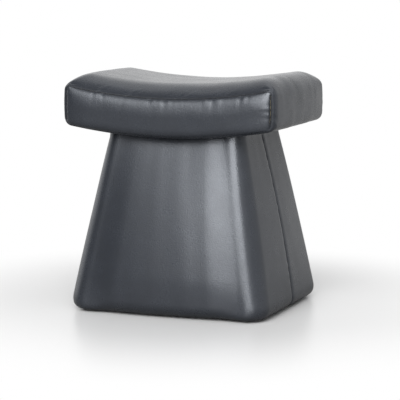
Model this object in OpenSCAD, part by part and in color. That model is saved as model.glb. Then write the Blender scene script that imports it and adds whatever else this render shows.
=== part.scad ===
// Shoe fitting stool: a saddle-curved padded seat bolted to a flared pedestal,
// both covered all over in smooth leather.
// X runs along the seat, -Y is the front, Z points up and the floor is at zero.

/* [Seat] */
// Overall length of the seat across its padded ends
seat_length = 441; // [400:1:480]
// Overall depth of the seat over its front and back panels
seat_depth = 315; // [295:1:345]
// Height of the lowest line of the saddle above the floor
seat_mid_height = 442.3; // [400:0.1:500]
// Radius of the seat's lengthwise curve
saddle_radius = 1053; // [900:1:2000]
// Thickness of the seat from its top to its underside
seat_thickness = 102; // [98:1:120]
// Radius of the roll where the top turns down each end
end_roll = 39.5; // [28:0.5:48]
// Radius of that roll at the front and back seams
corner_roll = 7; // [6:0.5:16]
// Radius of the roll where each end turns under
under_roll = 17; // [12:1:20]
// How far the top rolls in from the front and back seams
front_roll_width = 60; // [40:1:100]
// How far the front and back seams lie below the top
front_roll_drop = 26.5; // [20:0.5:32]
// Drop from the crown of the top to where the front roll begins
top_crown = 1.5; // [1:0.5:4]
// How far the ends draw in at the corner seams
end_draw = 12; // [6:0.5:14]
// Width of the ends' own roll into the corner seams
end_roll_width = 17.5; // [13:0.5:24]
// Swell of each end between its top and bottom rolls
end_swell = 1; // [0.5:0.5:3]
// Rise of the underside where it meets the front and back seams
under_draw = 3; // [2:0.5:6]
// Swell of the front and back panels beyond their seams
panel_swell = 6; // [4:0.5:8]
// Width over which a panel swells out from its seams
panel_edge = 17; // [12:1:22]
// Width of the leather turned under the seat
under_hem = 32; // [22:1:36]

/* [Pedestal] */
// Width of the pedestal at the floor
base_width = 409; // [380:1:430]
// Depth of the pedestal at the floor
base_depth = 356; // [330:1:380]
// Width of the pedestal where it meets the seat
neck_width = 277; // [260:1:300]
// Depth of the pedestal where it meets the seat
neck_depth = 244; // [230:1:256]
// Radius of the upright corners at the floor
base_corner = 42; // [34:1:46]
// Radius of the upright corners under the seat
neck_corner = 30; // [26:1:34]
// Swell of the left and right faces at mid height
side_swell = 6; // [4:0.5:14]
// Swell of the left and right faces at the floor
side_swell_low = 2; // [1:0.5:8]
// Swell of the front and back faces at mid height
face_swell = 9; // [3:0.5:12]
// Swell of the front and back faces at the floor
face_swell_low = 15; // [4:0.5:16]
// Height of the rolled hem at the bottom of the cover
hem_height = 26; // [22:1:34]
// How far the rolled hem curves in
hem_depth = 20; // [18:1:24]
// Width of the leather turned under the pedestal
hem_width = 11; // [8:1:12]
// Height of the hem above the floor
hem_clearance = 4; // [3:0.5:6]
// Depth of the groove along the side seams
seam_dip = 1.4; // [0.6:0.1:2]
// Half width of the groove along the side seams
seam_dip_width = 9; // [6:1:14]

/* [Covers and padding] */
// Thickness of the leather
leather = 1.5; // [1:0.1:2]
// Thickness of the foam slab on top of the seat
seat_foam_height = 36; // [34:1:42]
// Foam between the seat frame and the corner seams
side_foam = 12; // [10:1:16]
// Foam and leather together on the pedestal's walls
base_padding = 16; // [15:1:18]
// Thickness of the black cloth that closes each underside
cloth = 0.6; // [0.4:0.1:1]
// How far the cloth laps over the turned leather
cloth_lap = 9; // [5:1:10]
// Gap kept between neighbouring pieces
fit_gap = 0.3; // [0.2:0.05:0.4]

/* [Timber] */
// Thickness of the seat frame's rails
rail_thickness = 18; // [15:1:21]
// Thickness of the bent plywood deck
deck_thickness = 6; // [4:0.5:9]
// Width of each cross rail in the seat
cross_rail_width = 45; // [40:1:50]
// Height of each cross rail in the seat
cross_rail_height = 38; // [30:1:42]
// Leg length of the triangular corner blocks
block_leg = 42; // [32:1:50]
// Height of the corner blocks
block_height = 36; // [25:1:42]
// Thickness of the pedestal's wall panels
panel_thickness = 12; // [9:1:15]
// Width of the square corner posts
post_width = 30; // [28:1:32]
// Height of the rails round the foot of the pedestal
foot_rail_height = 42; // [30:1:60]
// Thickness of the rails round the foot of the pedestal
foot_rail_thickness = 22; // [18:1:28]
// Width of the pedestal's two top rails
top_rail_width = 45; // [40:1:50]
// Height of the top rails at the middle of the saddle
top_rail_height = 38; // [30:1:50]

/* [Fasteners and glides] */
// Nominal diameter of the four bolts that join seat and pedestal
bolt_diameter = 8; // [6:1:8]
// Diameter of the bolt heads
bolt_head_diameter = 14; // [12:1:16]
// Height of the bolt heads
bolt_head_height = 5; // [4:0.5:8]
// Width across the flats of the socket in each bolt head
socket_flats = 5; // [4:1:6]
// Distance between the bolts of one rail
bolt_spacing = 120; // [90:1:130]
// Outer diameter of the washers
washer_diameter = 24; // [18:1:26]
// Thickness of the washers
washer_thickness = 1.6; // [1:0.1:2.5]
// Flange diameter of the tee nuts
tee_flange_diameter = 22; // [19:1:24]
// Flange thickness of the tee nuts
tee_flange_thickness = 1.6; // [1.2:0.1:2]
// Outer diameter of the tee nut barrels
tee_barrel_diameter = 10.2; // [10:0.1:11]
// Length of the tee nut barrels
tee_barrel_length = 9; // [7:0.5:12]
// Shank diameter of the wood screws
screw_shank = 4; // [3:0.5:4.5]
// Head diameter of the wood screws
screw_head = 8; // [7:0.5:9]
// Length of the wood screws
screw_length = 30; // [22:1:32]
// Diameter of the floor glides
glide_diameter = 20; // [16:1:20]
// Diameter of the nail in each glide
nail_diameter = 2.4; // [2:0.1:3]
// Length of the nail above its glide
nail_length = 16; // [12:1:20]

/* [Hidden] */

// Colours
leather_colour = [0.27, 0.29, 0.32];
timber_colour = [0.78, 0.66, 0.48];
plywood_colour = [0.82, 0.71, 0.54];
foam_colour = [0.90, 0.87, 0.76];
cloth_colour = [0.10, 0.10, 0.11];
steel_colour = [0.70, 0.71, 0.73];
glide_colour = [0.16, 0.16, 0.17];

// What lies between the outer face of the leather and the foam
skin = leather + fit_gap;
// Overrun of every cutting shape
over = 4;
// Segments of the large saddle arcs
saddle_fn = 720;
$fn = 48;

// Saddle arcs share one centre line high above the seat
saddle_z = seat_mid_height + saddle_radius;
under_radius = saddle_radius + seat_thickness;
deck_radius = saddle_radius + skin + seat_foam_height + fit_gap;
frame_top_radius = deck_radius + deck_thickness + fit_gap;
frame_low_radius = under_radius - skin;
cloth_radius = under_radius + fit_gap;
neck_radius = cloth_radius + cloth + fit_gap;

// Seam planes of the seat and faces of its frame
seam_y = seat_depth / 2 - panel_swell;
seam_x = seat_length / 2 - end_draw;
frame_y = seam_y - skin - side_foam - fit_gap;
frame_x = seam_x - skin - side_foam - fit_gap;

// Heights and slopes of the pedestal
neck_z = saddle_z - neck_radius;
base_rise = neck_z - hem_clearance;
side_slope = (base_width - neck_width) / 2 / base_rise;
face_slope = (base_depth - neck_depth) / 2 / base_rise;
side_tilt = atan(side_slope);
face_tilt = atan(face_slope);
carcass_floor = hem_inner_z(base_padding, skin);
wall_x = panel_thickness / cos(side_tilt) + fit_gap;
wall_y = panel_thickness / cos(face_tilt) + fit_gap;

// Places of the bolts
top_rail_outer = half_width(neck_z) - base_padding - wall_x - post_width - fit_gap;
bolt_x = top_rail_outer - top_rail_width / 2;
bolt_y = bolt_spacing / 2;
top_rail_low = neck_z - top_rail_height;
bolt_hole = bolt_diameter + 2 * fit_gap;
tee_seat_z = saddle_z - frame_low_radius + cross_rail_height - tee_flange_thickness;
socket_depth = bolt_head_height / 2;

// Screw proportions
screw_head_height = (screw_head - screw_shank) / 2;
screw_tip = screw_shank;
screw_gap = fit_gap / 2;
countersink = fit_gap;

// Point counts of the padded surfaces
top_steps = 14;
roll_steps = 6;
under_steps = 3;
end_steps = 3;
corner_steps = 6;
face_steps = 6;
roll_angles = [0, 25, 45, 62, 77, 90];
hem_angles = [0, 30, 60, 90];
wall_shares = [1, 0.8, 0.58, 0.36, 0.17];
side_shares = [0, 0.1, 0.5];
panel_x_shares = [0, 0.12, 0.35, 0.7, 1.2];
panel_z_shares = [0, 0.05, 0.16, 0.34, 0.5, 0.66, 0.84, 0.95, 1];
panel_columns = 8;
middle_shares = [-0.5, 0, 0.5];
hem_shares = [1, 0.4, 0.13];
deck_screw_shares = [-0.88, -0.34, 0.34, 0.88];
panel_screw_shares = [0.14, 0.5, 0.86];

// General helpers
function between(a, b, share) = a + (b - a) * share;
function clamp(v, low, high) = max(low, min(high, v));
function reversed(list) = [for (i = [len(list) - 1:-1:0]) list[i]];
// Quarter ellipse that leaves its side flat and arrives upright
function quarter(share) = 1 - sqrt(1 - pow(clamp(share, 0, 1), 2));
function saddle(radius, x) = saddle_z - sqrt(radius * radius - x * x);

// How far the seat's surface is drawn in at a distance y from its middle,
// for a surface d inside the leather's outer face
function top_inset(y, d) =
    let (start = seam_y - front_roll_width)
    d + top_crown * pow(y / seam_y, 2)
    + (front_roll_drop - top_crown * pow(1 - d / seam_y, 2) - d)
    * quarter((abs(y) - start) / (front_roll_width - d));
function end_inset(y, d) =
    let (start = seam_y - end_roll_width, bow = end_draw / 3)
    d + bow * pow(y / seam_y, 2)
    + (end_draw - bow * pow(1 - d / seam_y, 2) - d)
    * quarter((abs(y) - start) / (end_roll_width - d));
function under_inset(y, d) =
    let (width = under_draw * 3)
    d + (under_draw - min(d, under_draw))
    * quarter((abs(y) - (seam_y - width)) / (width - d));

// The end roll tightens as the top rounds down to the corner seams
function roll_radius(t, d) =
    max(end_roll - d - (end_roll - corner_roll) * (t - d) / front_roll_drop, leather);

// One lengthwise section of the seat: half length, end rolls and arc radii
function section(y, d) =
    let (t = top_inset(y, d), e = end_inset(y, d), u = under_inset(y, d))
    [seat_length / 2 - e - end_swell, roll_radius(t, d), max(under_roll - u, leather),
     saddle_radius + t, under_radius - u];
function top_corner(s) =
    [s[0] - s[1], saddle_z - sqrt(pow(s[3] + s[1], 2) - pow(s[0] - s[1], 2))];
function low_corner(s) =
    [s[0] - s[2], saddle_z - sqrt(pow(s[4] - s[2], 2) - pow(s[0] - s[2], 2))];
function top_height(s, x) =
    let (c = top_corner(s), tangent = c[0] * s[3] / (s[3] + s[1]))
    abs(x) <= tangent ? saddle(s[3], x)
    : c[1] + sqrt(max(s[1] * s[1] - pow(abs(x) - c[0], 2), 0));
function low_height(s, x) =
    let (c = low_corner(s), tangent = c[0] * s[4] / (s[4] - s[2]))
    abs(x) <= tangent ? saddle(s[4], x)
    : c[1] - sqrt(max(s[2] * s[2] - pow(abs(x) - c[0], 2), 0));
function end_swelling(s, z) =
    let (a = low_corner(s)[1], b = top_corner(s)[1], u = (2 * z - a - b) / (b - a))
    end_swell * max(1 - u * u, 0);

// How far out an end's face or the roll above it lies at a height z
function end_x(s, z) =
    let (c = top_corner(s))
    z > c[1] ? c[0] + sqrt(s[1] * s[1] - pow(z - c[1], 2)) : s[0] + end_swelling(s, z);

// Right half of a section from its turned-under edge up to the middle of the top
function low_roll(s, steps) =
    let (c = low_corner(s), start = -90 + asin(c[0] / (s[4] - s[2])))
    [for (i = [0:steps]) let (a = start * (1 - i / steps))
        [c[0] + s[2] * cos(a), c[1] + s[2] * sin(a)]];
function top_roll(s, steps, first) =
    let (c = top_corner(s), last = 90 + asin(c[0] / (s[3] + s[1])))
    [for (i = [0:steps]) let (a = between(first, last, i / steps))
        [c[0] + s[1] * cos(a), c[1] + s[1] * sin(a)]];
function top_half(s) =
    let (c = top_corner(s), edge = c[0] * s[3] / (s[3] + s[1]))
    [for (i = [1:top_steps / 2]) let (x = edge * (1 - 2 * i / top_steps)) [x, saddle(s[3], x)]];
function end_face(s) =
    let (a = low_corner(s)[1], b = top_corner(s)[1])
    [for (i = [1:end_steps - 1]) let (z = between(a, b, i / end_steps))
        [s[0] + end_swelling(s, z), z]];
function both_halves(half) =
    concat(half, [for (i = [len(half) - 2:-1:0]) [-half[i][0], half[i][1]]]);
// The hem under an end stops on a mitre line shared with the front and back hems
function strip_section(s, reach) =
    let (x = min(low_corner(s)[0], seam_x - reach))
    both_halves(concat([[x, saddle(s[4], x)]], low_roll(s, under_steps), end_face(s),
        top_roll(s, roll_steps, 0), top_half(s)));

// Rows across the seat, from the front seam to the back one
function roll_y(d) =
    let (start = seam_y - front_roll_width)
    [for (a = roll_angles) start + (front_roll_width - d) * sin(a)];
function row_places(d) =
    let (y = roll_y(d))
    concat([for (v = reversed(y)) -v], [for (s = middle_shares) s * y[0]], y);
function end_reach(y) = clamp(seam_y - abs(y), 0, under_hem);
function placed(row, y) = [for (p = row) [p[0], y, p[1]]];

// Front and back panels: outline from the section at the seam, swelling outwards
seam_section = section(seam_y, 0);
panel_half = seam_section[0] - fit_gap;
panel_x = let (
        edge = [for (s = panel_x_shares) panel_half - panel_edge * s],
        last = edge[len(edge) - 1],
        middle = [for (i = [1:panel_columns - 1]) last * (1 - 2 * i / panel_columns)])
    concat(edge, middle, [for (v = reversed(edge)) -v]);
function rise(distance) = 1 - quarter(1 - distance / panel_edge);
function panel_top(x) = top_height(seam_section, x) - fit_gap;
function panel_low(x) = low_height(seam_section, x) + fit_gap;
function panel_y(x, z) =
    seam_y + panel_swell * rise(panel_half - abs(x))
    * rise(clamp(min(panel_top(x) - z, z - panel_low(x)), 0, panel_edge));
// The hem under a face stops on the mitre, and is trimmed short under the corners
function face_reach(x) =
    abs(x) > low_corner(seam_section)[0] - under_draw ? leather * hem_shares[0] / 2
    : clamp(seam_x - abs(x) - fit_gap, leather, under_hem);

// Walls of the pedestal
function height_share(z) = (z - hem_clearance) / base_rise;
function half_width(z) = between(base_width, neck_width, height_share(z)) / 2;
function half_depth(z) = between(base_depth, neck_depth, height_share(z)) / 2;
function corner_at(z) = between(base_corner, neck_corner, height_share(z));
function mid_swell(z) = 4 * height_share(z) * (1 - height_share(z));
function side_bow(z) = side_swell_low * (1 - height_share(z)) + side_swell * mid_swell(z);
function face_bow(z) = face_swell_low * (1 - height_share(z)) + face_swell * mid_swell(z);
function outward(v, limit) = sign(v) * clamp(2 * abs(v) / limit - 1, 0, 1);
// Moves a point of the plain rounded outline out by the walls' swell
function swollen(p, a, b, z) =
    [p[0] + outward(p[0], a) * max(side_bow(z), 0) * max(1 - pow(p[1] / b, 2), 0)
        - sign(p[0]) * seam_dip * (1 - clamp(abs(p[1]) / seam_dip_width, 0, 1)),
     p[1] + outward(p[1], b) * max(face_bow(z), 0) * max(1 - pow(p[0] / a, 2), 0)];
function arc_points(cx, cy, r, start) =
    [for (i = [0:corner_steps]) let (a = start + 90 * i / corner_steps)
        [cx + r * cos(a), cy + r * sin(a)]];
// Front half of the outline, from the left side seam round to the right one
function half_outline(a, b, r) =
    concat([for (s = side_shares) [-a, -between(fit_gap / 2, b - r, s)]],
        arc_points(-(a - r), -(b - r), r, 180),
        [for (i = [1:face_steps - 1]) [(a - r) * (2 * i / face_steps - 1), -b]],
        arc_points(a - r, -(b - r), r, 270),
        [for (s = reversed(side_shares)) [a, -between(fit_gap / 2, b - r, s)]]);
function wall_points(z, d) =
    let (a = half_width(z) - d, b = half_depth(z) - d, r = max(corner_at(z) - d, leather))
    [for (p = half_outline(a, b, r)) swollen(p, a, b, z)];
function wall_row(z, inset, height) =
    [for (p = wall_points(z, inset)) [p[0], p[1], height]];
// The top edge follows the underside of the seat
function neck_row(d) =
    [for (p = wall_points(neck_z, d)) [p[0], p[1], saddle(neck_radius, p[0])]];
function hem_low(angle, d) = hem_clearance + hem_height - (hem_height - d) * sin(angle);
function hem_in(angle, d) = hem_depth - (hem_depth - d) * cos(angle);
function hem_inner_z(inset, d) =
    hem_low(acos((hem_depth - inset) / (hem_depth - d)), d);
function cover_rows(d) =
    let (hem_top = hem_clearance + hem_height, low = hem_clearance + d)
    concat([neck_row(d)],
        [for (s = [for (i = [1:len(wall_shares) - 1]) wall_shares[i]])
            let (z = between(hem_top, neck_z, s)) wall_row(z, d, z)],
        [for (a = hem_angles) let (z = hem_low(a, d)) wall_row(z, hem_in(a, d), z)],
        [hem_row(low)]);
// The turned hem ends on a straight line under each wall, whatever the wall's swell
function hem_row(z) =
    let (inset = hem_depth + hem_width)
    [for (p = half_outline(half_width(z) - inset, half_depth(z) - inset,
        max(corner_at(z) - inset, leather))) [p[0], p[1], z]];

// Where the carcass's foot corners are planed off to clear the rolled hem: how far
// out along a corner's diagonal, from the centre of its round, they may reach
function corner_limit(z) = corner_at(carcass_floor) - base_padding + z - carcass_floor;
function corner_centre(z) = [half_width(z) - corner_at(z), half_depth(z) - corner_at(z)];
// Draws a point of a pad's inner face back to the planed corner
function behind_corner(p) =
    let (c = corner_centre(p[2]), reach = (abs(p[0]) - c[0] + abs(p[1]) - c[1]) / sqrt(2),
        back = max(reach - corner_limit(p[2]) - fit_gap, 0) / sqrt(2))
    [p[0] - sign(p[0]) * back, p[1] - sign(p[1]) * back, p[2]];

// Rows of a wall's foam, from the neck down into the rolled hem: height and inset
function pad_levels() =
    let (hem_top = hem_clearance + hem_height)
    concat([for (s = wall_shares) [between(hem_top, neck_z, s), skin]],
        [for (a = [for (i = [0:len(hem_angles) - 2]) hem_angles[i]])
            [hem_low(a, skin), hem_in(a, skin)]]);
// Points of a level of foam, from one place of the front outline to another
function pad_row(level, first, last) =
    let (points = wall_points(level[0], level[1]))
    [for (i = [first:last]) let (p = points[i])
        [p[0], p[1], level[0] == neck_z ? saddle(neck_radius, p[0]) : level[0]]];
// Where the right corner's bisector and the right side seam fall in the outline
right_mitre = len(side_shares) + corner_steps + face_steps + corner_steps / 2;
right_seam = right_mitre + corner_steps / 2 + len(side_shares);
left_mitre = len(side_shares) + corner_steps / 2;

// Closed solid between an outer and an inner grid of points
module sheet(outer, inner) {
    rows = len(outer);
    columns = len(outer[0]);
    count = rows * columns;
    points = [for (grid = [outer, inner]) for (row = grid) for (p = row) p];
    faces = concat(
        [for (r = [0:rows - 2]) for (c = [0:columns - 2]) let (k = r * columns + c)
            each [[k, k + 1, k + columns], [k + 1, k + columns + 1, k + columns]]],
        [for (r = [0:rows - 2]) for (c = [0:columns - 2]) let (k = count + r * columns + c)
            each [[k, k + columns, k + 1], [k + 1, k + columns, k + columns + 1]]],
        [for (r = [0:rows - 2]) for (c = [0, columns - 1])
            let (k = r * columns + c, a = [k, k + columns, k + count],
                b = [k + columns, k + columns + count, k + count])
            each c == 0 ? [a, b] : [reversed(a), reversed(b)]],
        [for (c = [0:columns - 2]) for (r = [0, rows - 1])
            let (k = r * columns + c, a = [k + 1, k, k + count],
                b = [k + 1, k + count, k + 1 + count])
            each r == 0 ? [a, b] : [reversed(a), reversed(b)]]);
    polyhedron(points, faces);
}

// Turns an outline drawn in X and Z into a solid centred on Y
module across(depth) {
    rotate([90, 0, 0])
        linear_extrude(depth, center = true)
            children();
}

// Outline between two saddle arcs, from one x to another
module saddle_band(inner_radius, outer_radius, from_x, to_x) {
    intersection() {
        translate([0, saddle_z])
            difference() {
                circle(outer_radius, $fn = saddle_fn);
                circle(inner_radius, $fn = saddle_fn);
            }
        translate([from_x, 0])
            square([to_x - from_x, saddle_z]);
    }
}

// Removes what stands above the seat's underside or below the pedestal's carcass
module carcass_trim() {
    difference() {
        children();
        translate([0, 0, saddle_z])
            rotate([90, 0, 0])
                cylinder(base_depth, r = neck_radius, center = true, $fn = saddle_fn);
        translate([0, 0, carcass_floor - base_width / 2])
            cube(base_width, center = true);
    }
}

// A wood screw that points down, with its countersunk head's top at zero
module screw(gap) {
    r = screw_shank / 2 + gap;
    head = screw_head / 2 + gap;
    rotate_extrude()
        polygon([[0, 0], [head, 0], [r, -screw_head_height], [r, screw_tip - screw_length],
            [0, -screw_length - gap]]);
}
module screw_cut() {
    screw(screw_gap);
    cylinder(over, d = screw_head + 2 * screw_gap);
}

// Seat frame
module seat_rail() {
    color(plywood_colour)
        difference() {
            translate([0, rail_thickness / 2 - frame_y, 0])
                across(rail_thickness)
                    saddle_band(frame_top_radius, frame_low_radius, -frame_x, frame_x);
            frame_screw_places() screw_cut();
            deck_screw_places() screw_cut();
        }
}
module seat_front_rail() {
    seat_rail();
}
module seat_back_rail() {
    rotate(180) seat_rail();
}
module seat_end_rail() {
    color(timber_colour)
        difference() {
            across(2 * (frame_y - rail_thickness - fit_gap))
                saddle_band(frame_top_radius, frame_low_radius, frame_x - rail_thickness, frame_x);
            frame_screw_places() screw_cut();
            rotate(180) frame_screw_places() screw_cut();
        }
}
module seat_left_rail() {
    rotate(180) seat_end_rail();
}
module seat_right_rail() {
    seat_end_rail();
}
module seat_cross_rail() {
    half = cross_rail_width / 2;
    color(timber_colour)
        difference() {
            across(2 * (frame_y - rail_thickness - fit_gap))
                saddle_band(frame_low_radius - cross_rail_height, frame_low_radius,
                    bolt_x - half, bolt_x + half);
            for (y = [-bolt_y, bolt_y])
                translate([bolt_x, y, 0]) {
                    cylinder(saddle_z - saddle_radius, d = bolt_hole);
                    translate([0, 0, tee_seat_z - tee_barrel_length - fit_gap])
                        cylinder(tee_barrel_length * 2, d = tee_barrel_diameter + fit_gap);
                    translate([0, 0, tee_seat_z])
                        cylinder(tee_barrel_length, d = tee_flange_diameter + 2 * fit_gap);
                }
        }
}
module seat_left_cross_rail() {
    rotate(180) seat_cross_rail();
}
module seat_right_cross_rail() {
    seat_cross_rail();
}
module seat_corner_blocks() {
    inner_x = frame_x - rail_thickness - fit_gap;
    inner_y = frame_y - rail_thickness - fit_gap;
    color(timber_colour)
        for (sx = [0, 1], sy = [0, 1])
            mirror([sx, 0, 0])
                mirror([0, sy, 0])
                    intersection() {
                        linear_extrude(saddle_z - saddle_radius)
                            polygon([[inner_x, inner_y], [inner_x - block_leg, inner_y],
                                [inner_x, inner_y - block_leg]]);
                        across(seat_depth)
                            saddle_band(frame_low_radius - block_height, frame_low_radius,
                                inner_x - block_leg, inner_x);
                    }
}
module seat_deck() {
    color(plywood_colour)
        difference() {
            across(2 * frame_y)
                saddle_band(deck_radius, deck_radius + deck_thickness, -frame_x, frame_x);
            deck_screw_places() screw_cut();
            rotate(180) deck_screw_places() screw_cut();
        }
}

// Seat padding
module seat_foam() {
    low = saddle_radius + skin + seat_foam_height;
    places = row_places(skin);
    tops = [for (y = places)
        let (s = section(y, skin), c = top_corner(s),
            first = asin(clamp((saddle(low, s[0]) - c[1]) / s[1], 0, 1)))
        placed(both_halves(concat(top_roll(s, roll_steps, first), top_half(s))), y)];
    color(foam_colour)
        sheet(tops, [for (row = tops) [for (p = row) [p[0], p[1], saddle(low, p[0])]]]);
}
module seat_face_pad() {
    inner = -frame_y - fit_gap;
    grid = [for (i = [1:len(panel_z_shares) - 3]) [for (j = [1:len(panel_x) - 2])
        let (x = panel_x[j], z = between(panel_low(x), panel_top(x), panel_z_shares[i]))
        [x, skin - panel_y(x, z), z]]];
    color(foam_colour)
        sheet(grid, [for (row = grid) [for (p = row) [p[0], inner, p[2]]]]);
}
module seat_front_pad() {
    seat_face_pad();
}
module seat_back_pad() {
    rotate(180) seat_face_pad();
}
module seat_end_pad() {
    slab_low = saddle_radius + skin + seat_foam_height + fit_gap;
    inner = frame_x + fit_gap;
    grid = [for (y = row_places(skin)) if (abs(y) < frame_y)
        let (s = section(y, skin), roll = low_roll(s, under_steps), top = saddle(slab_low, s[0]))
        placed(concat([for (i = [1:under_steps]) roll[i]], end_face(s),
            [[end_x(s, top), top]]), y)];
    color(foam_colour)
        sheet(grid, [for (row = grid) [for (p = row)
            [inner, p[1], min(p[2], saddle(slab_low, inner))]]]);
}
module seat_left_pad() {
    rotate(180) seat_end_pad();
}
module seat_right_pad() {
    seat_end_pad();
}

// Seat covers
module seat_cover_top() {
    places = row_places(0);
    outer = [for (y = places) placed(strip_section(section(y, 0), end_reach(y)), y)];
    inner = [for (i = [0:len(places) - 1]) let (y = row_places(leather)[i])
        placed(strip_section(section(y, leather), end_reach(places[i])), y)];
    color(leather_colour)
        sheet(outer, inner);
}
module seat_face_cover() {
    hem = [for (share = hem_shares) [for (x = panel_x)
        let (y = seam_y - share * face_reach(x)) [x, -y, low_height(section(y, 0), x)]]];
    face = [for (s = panel_z_shares) [for (x = panel_x)
        let (z = between(panel_low(x), panel_top(x), s)) [x, -panel_y(x, z), z]]];
    foot = [for (p = face[0]) [p[0], p[1] + leather, p[2] + leather]];
    above = [for (i = [1:len(face) - 1]) [for (p = face[i]) [p[0], p[1] + leather, p[2]]]];
    color(leather_colour)
        sheet(concat(hem, face), concat(
            [for (row = hem) [for (p = row) [p[0], p[1] + leather, p[2] + leather]]],
            [foot], above));
}
module seat_cover_front() {
    seat_face_cover();
}
module seat_cover_back() {
    rotate(180) seat_face_cover();
}
module seat_dust_cloth() {
    half_x = seam_x - under_hem + cloth_lap;
    half_y = seam_y - under_hem + cloth_lap;
    color(cloth_colour)
        difference() {
            across(2 * half_y)
                saddle_band(cloth_radius, cloth_radius + cloth, -half_x, half_x);
            bolt_places() cylinder(saddle_z - saddle_radius, d = bolt_hole);
        }
}

// Puts its children at the four bolts, standing on the floor plane
module bolt_places() {
    for (x = [-bolt_x, bolt_x], y = [-bolt_y, bolt_y])
        translate([x, y, 0])
            children();
}

// Pedestal carcass
// Puts its children on a wall's outer face: X along it, Y up its slope, Z outwards
module wall_frame(turn, half, tilt) {
    rotate(turn)
        translate([0, -(half - base_padding), carcass_floor])
            rotate([90 - tilt, 0, 0])
                children();
}
module face_frame() {
    wall_frame(0, half_depth(carcass_floor), face_tilt)
        children();
}
module side_frame() {
    wall_frame(90, half_width(carcass_floor), side_tilt)
        children();
}
// Takes the foot corners off the wall panels, so that the cover can roll in round them
module foot_corner_cuts() {
    c = corner_centre(carcass_floor);
    for (side = [-1, 1])
        translate([side * c[0], -c[1], carcass_floor])
            rotate([0, 0, side * 45 - 90])
                translate([corner_limit(carcass_floor), 0, 0])
                    rotate([0, 45, 0])
                        translate([0, -base_corner, -base_corner])
                            cube([base_corner, 2 * base_corner, 2 * base_corner]);
}
// A tapered board from the foot of a wall to above the seat's underside
module tapered_board(low_half, slope, tilt) {
    run = (base_rise + top_rail_height) / cos(tilt);
    foot = -panel_thickness;
    translate([0, 0, -panel_thickness])
        linear_extrude(panel_thickness)
            polygon([for (v = [foot, run]) for (s = v == foot ? [-1, 1] : [1, -1])
                [s * (low_half - slope * v * cos(tilt)), v]]);
}
module base_face_panel() {
    color(plywood_colour)
        difference() {
            carcass_trim()
                face_frame()
                    tapered_board(half_width(carcass_floor) - base_padding, side_slope, face_tilt);
            face_screw_places() screw_cut();
            foot_corner_cuts();
        }
}
module base_front_panel() {
    base_face_panel();
}
module base_back_panel() {
    rotate(180) base_face_panel();
}
module base_side_panel() {
    color(plywood_colour)
        difference() {
            carcass_trim()
                side_frame()
                    tapered_board(half_depth(carcass_floor) - base_padding - wall_y,
                        face_slope, side_tilt);
            side_screw_places() screw_cut();
            foot_corner_cuts();
            rotate(180) foot_corner_cuts();
        }
}
module base_left_panel() {
    rotate(180) base_side_panel();
}
module base_right_panel() {
    base_side_panel();
}
// The corner post at the front right, leaning with both walls
module corner_post() {
    x = half_width(carcass_floor) - base_padding - wall_x;
    y = half_depth(carcass_floor) - base_padding - wall_y;
    lean = [[1, 0, -side_slope, x], [0, 1, face_slope, -y], [0, 0, 1, carcass_floor], [0, 0, 0, 1]];
    color(timber_colour)
        difference() {
            carcass_trim()
                multmatrix(lean)
                    translate([-post_width, 0, -over])
                        cube([post_width, post_width, base_rise + top_rail_height]);
            face_screw_places() screw_cut();
            side_screw_places() screw_cut();
            glide_places() nail_cut();
        }
}
module base_front_left_post() {
    mirror([1, 0, 0]) corner_post();
}
module base_front_right_post() {
    corner_post();
}
module base_back_left_post() {
    rotate(180) corner_post();
}
module base_back_right_post() {
    mirror([0, 1, 0]) corner_post();
}
module base_top_rail() {
    low_y = half_depth(top_rail_low) - base_padding - wall_y;
    high_z = neck_z + top_rail_height;
    high_y = half_depth(high_z) - base_padding - wall_y;
    inner = top_rail_outer - top_rail_width;
    color(timber_colour)
        difference() {
            carcass_trim()
                translate([inner, 0, 0])
                    rotate([90, 0, 90])
                        linear_extrude(top_rail_width)
                            polygon([[-low_y, top_rail_low], [low_y, top_rail_low],
                                [high_y, high_z], [-high_y, high_z]]);
            bolt_places() cylinder(saddle_z - saddle_radius, d = bolt_hole);
            face_screw_places() screw_cut();
            rotate(180) face_screw_places() screw_cut();
        }
}
module base_left_top_rail() {
    rotate(180) base_top_rail();
}
module base_right_top_rail() {
    base_top_rail();
}
// A foot rail along a wall, between the posts
module foot_rail(half) {
    translate([-half, -over * 2, -panel_thickness - fit_gap - foot_rail_thickness])
        cube([2 * half, foot_rail_height + over * 2, foot_rail_thickness]);
}
module base_face_foot_rail() {
    z = carcass_floor + foot_rail_height;
    color(timber_colour)
        carcass_trim()
            face_frame()
                foot_rail(half_width(z) - base_padding - wall_x - post_width - fit_gap);
}
module base_front_foot_rail() {
    base_face_foot_rail();
}
module base_back_foot_rail() {
    rotate(180) base_face_foot_rail();
}
module base_side_foot_rail() {
    z = carcass_floor + foot_rail_height;
    color(timber_colour)
        carcass_trim()
            side_frame()
                foot_rail(half_depth(z) - base_padding - wall_y - post_width - fit_gap);
}
module base_left_foot_rail() {
    rotate(180) base_side_foot_rail();
}
module base_right_foot_rail() {
    base_side_foot_rail();
}

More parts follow.
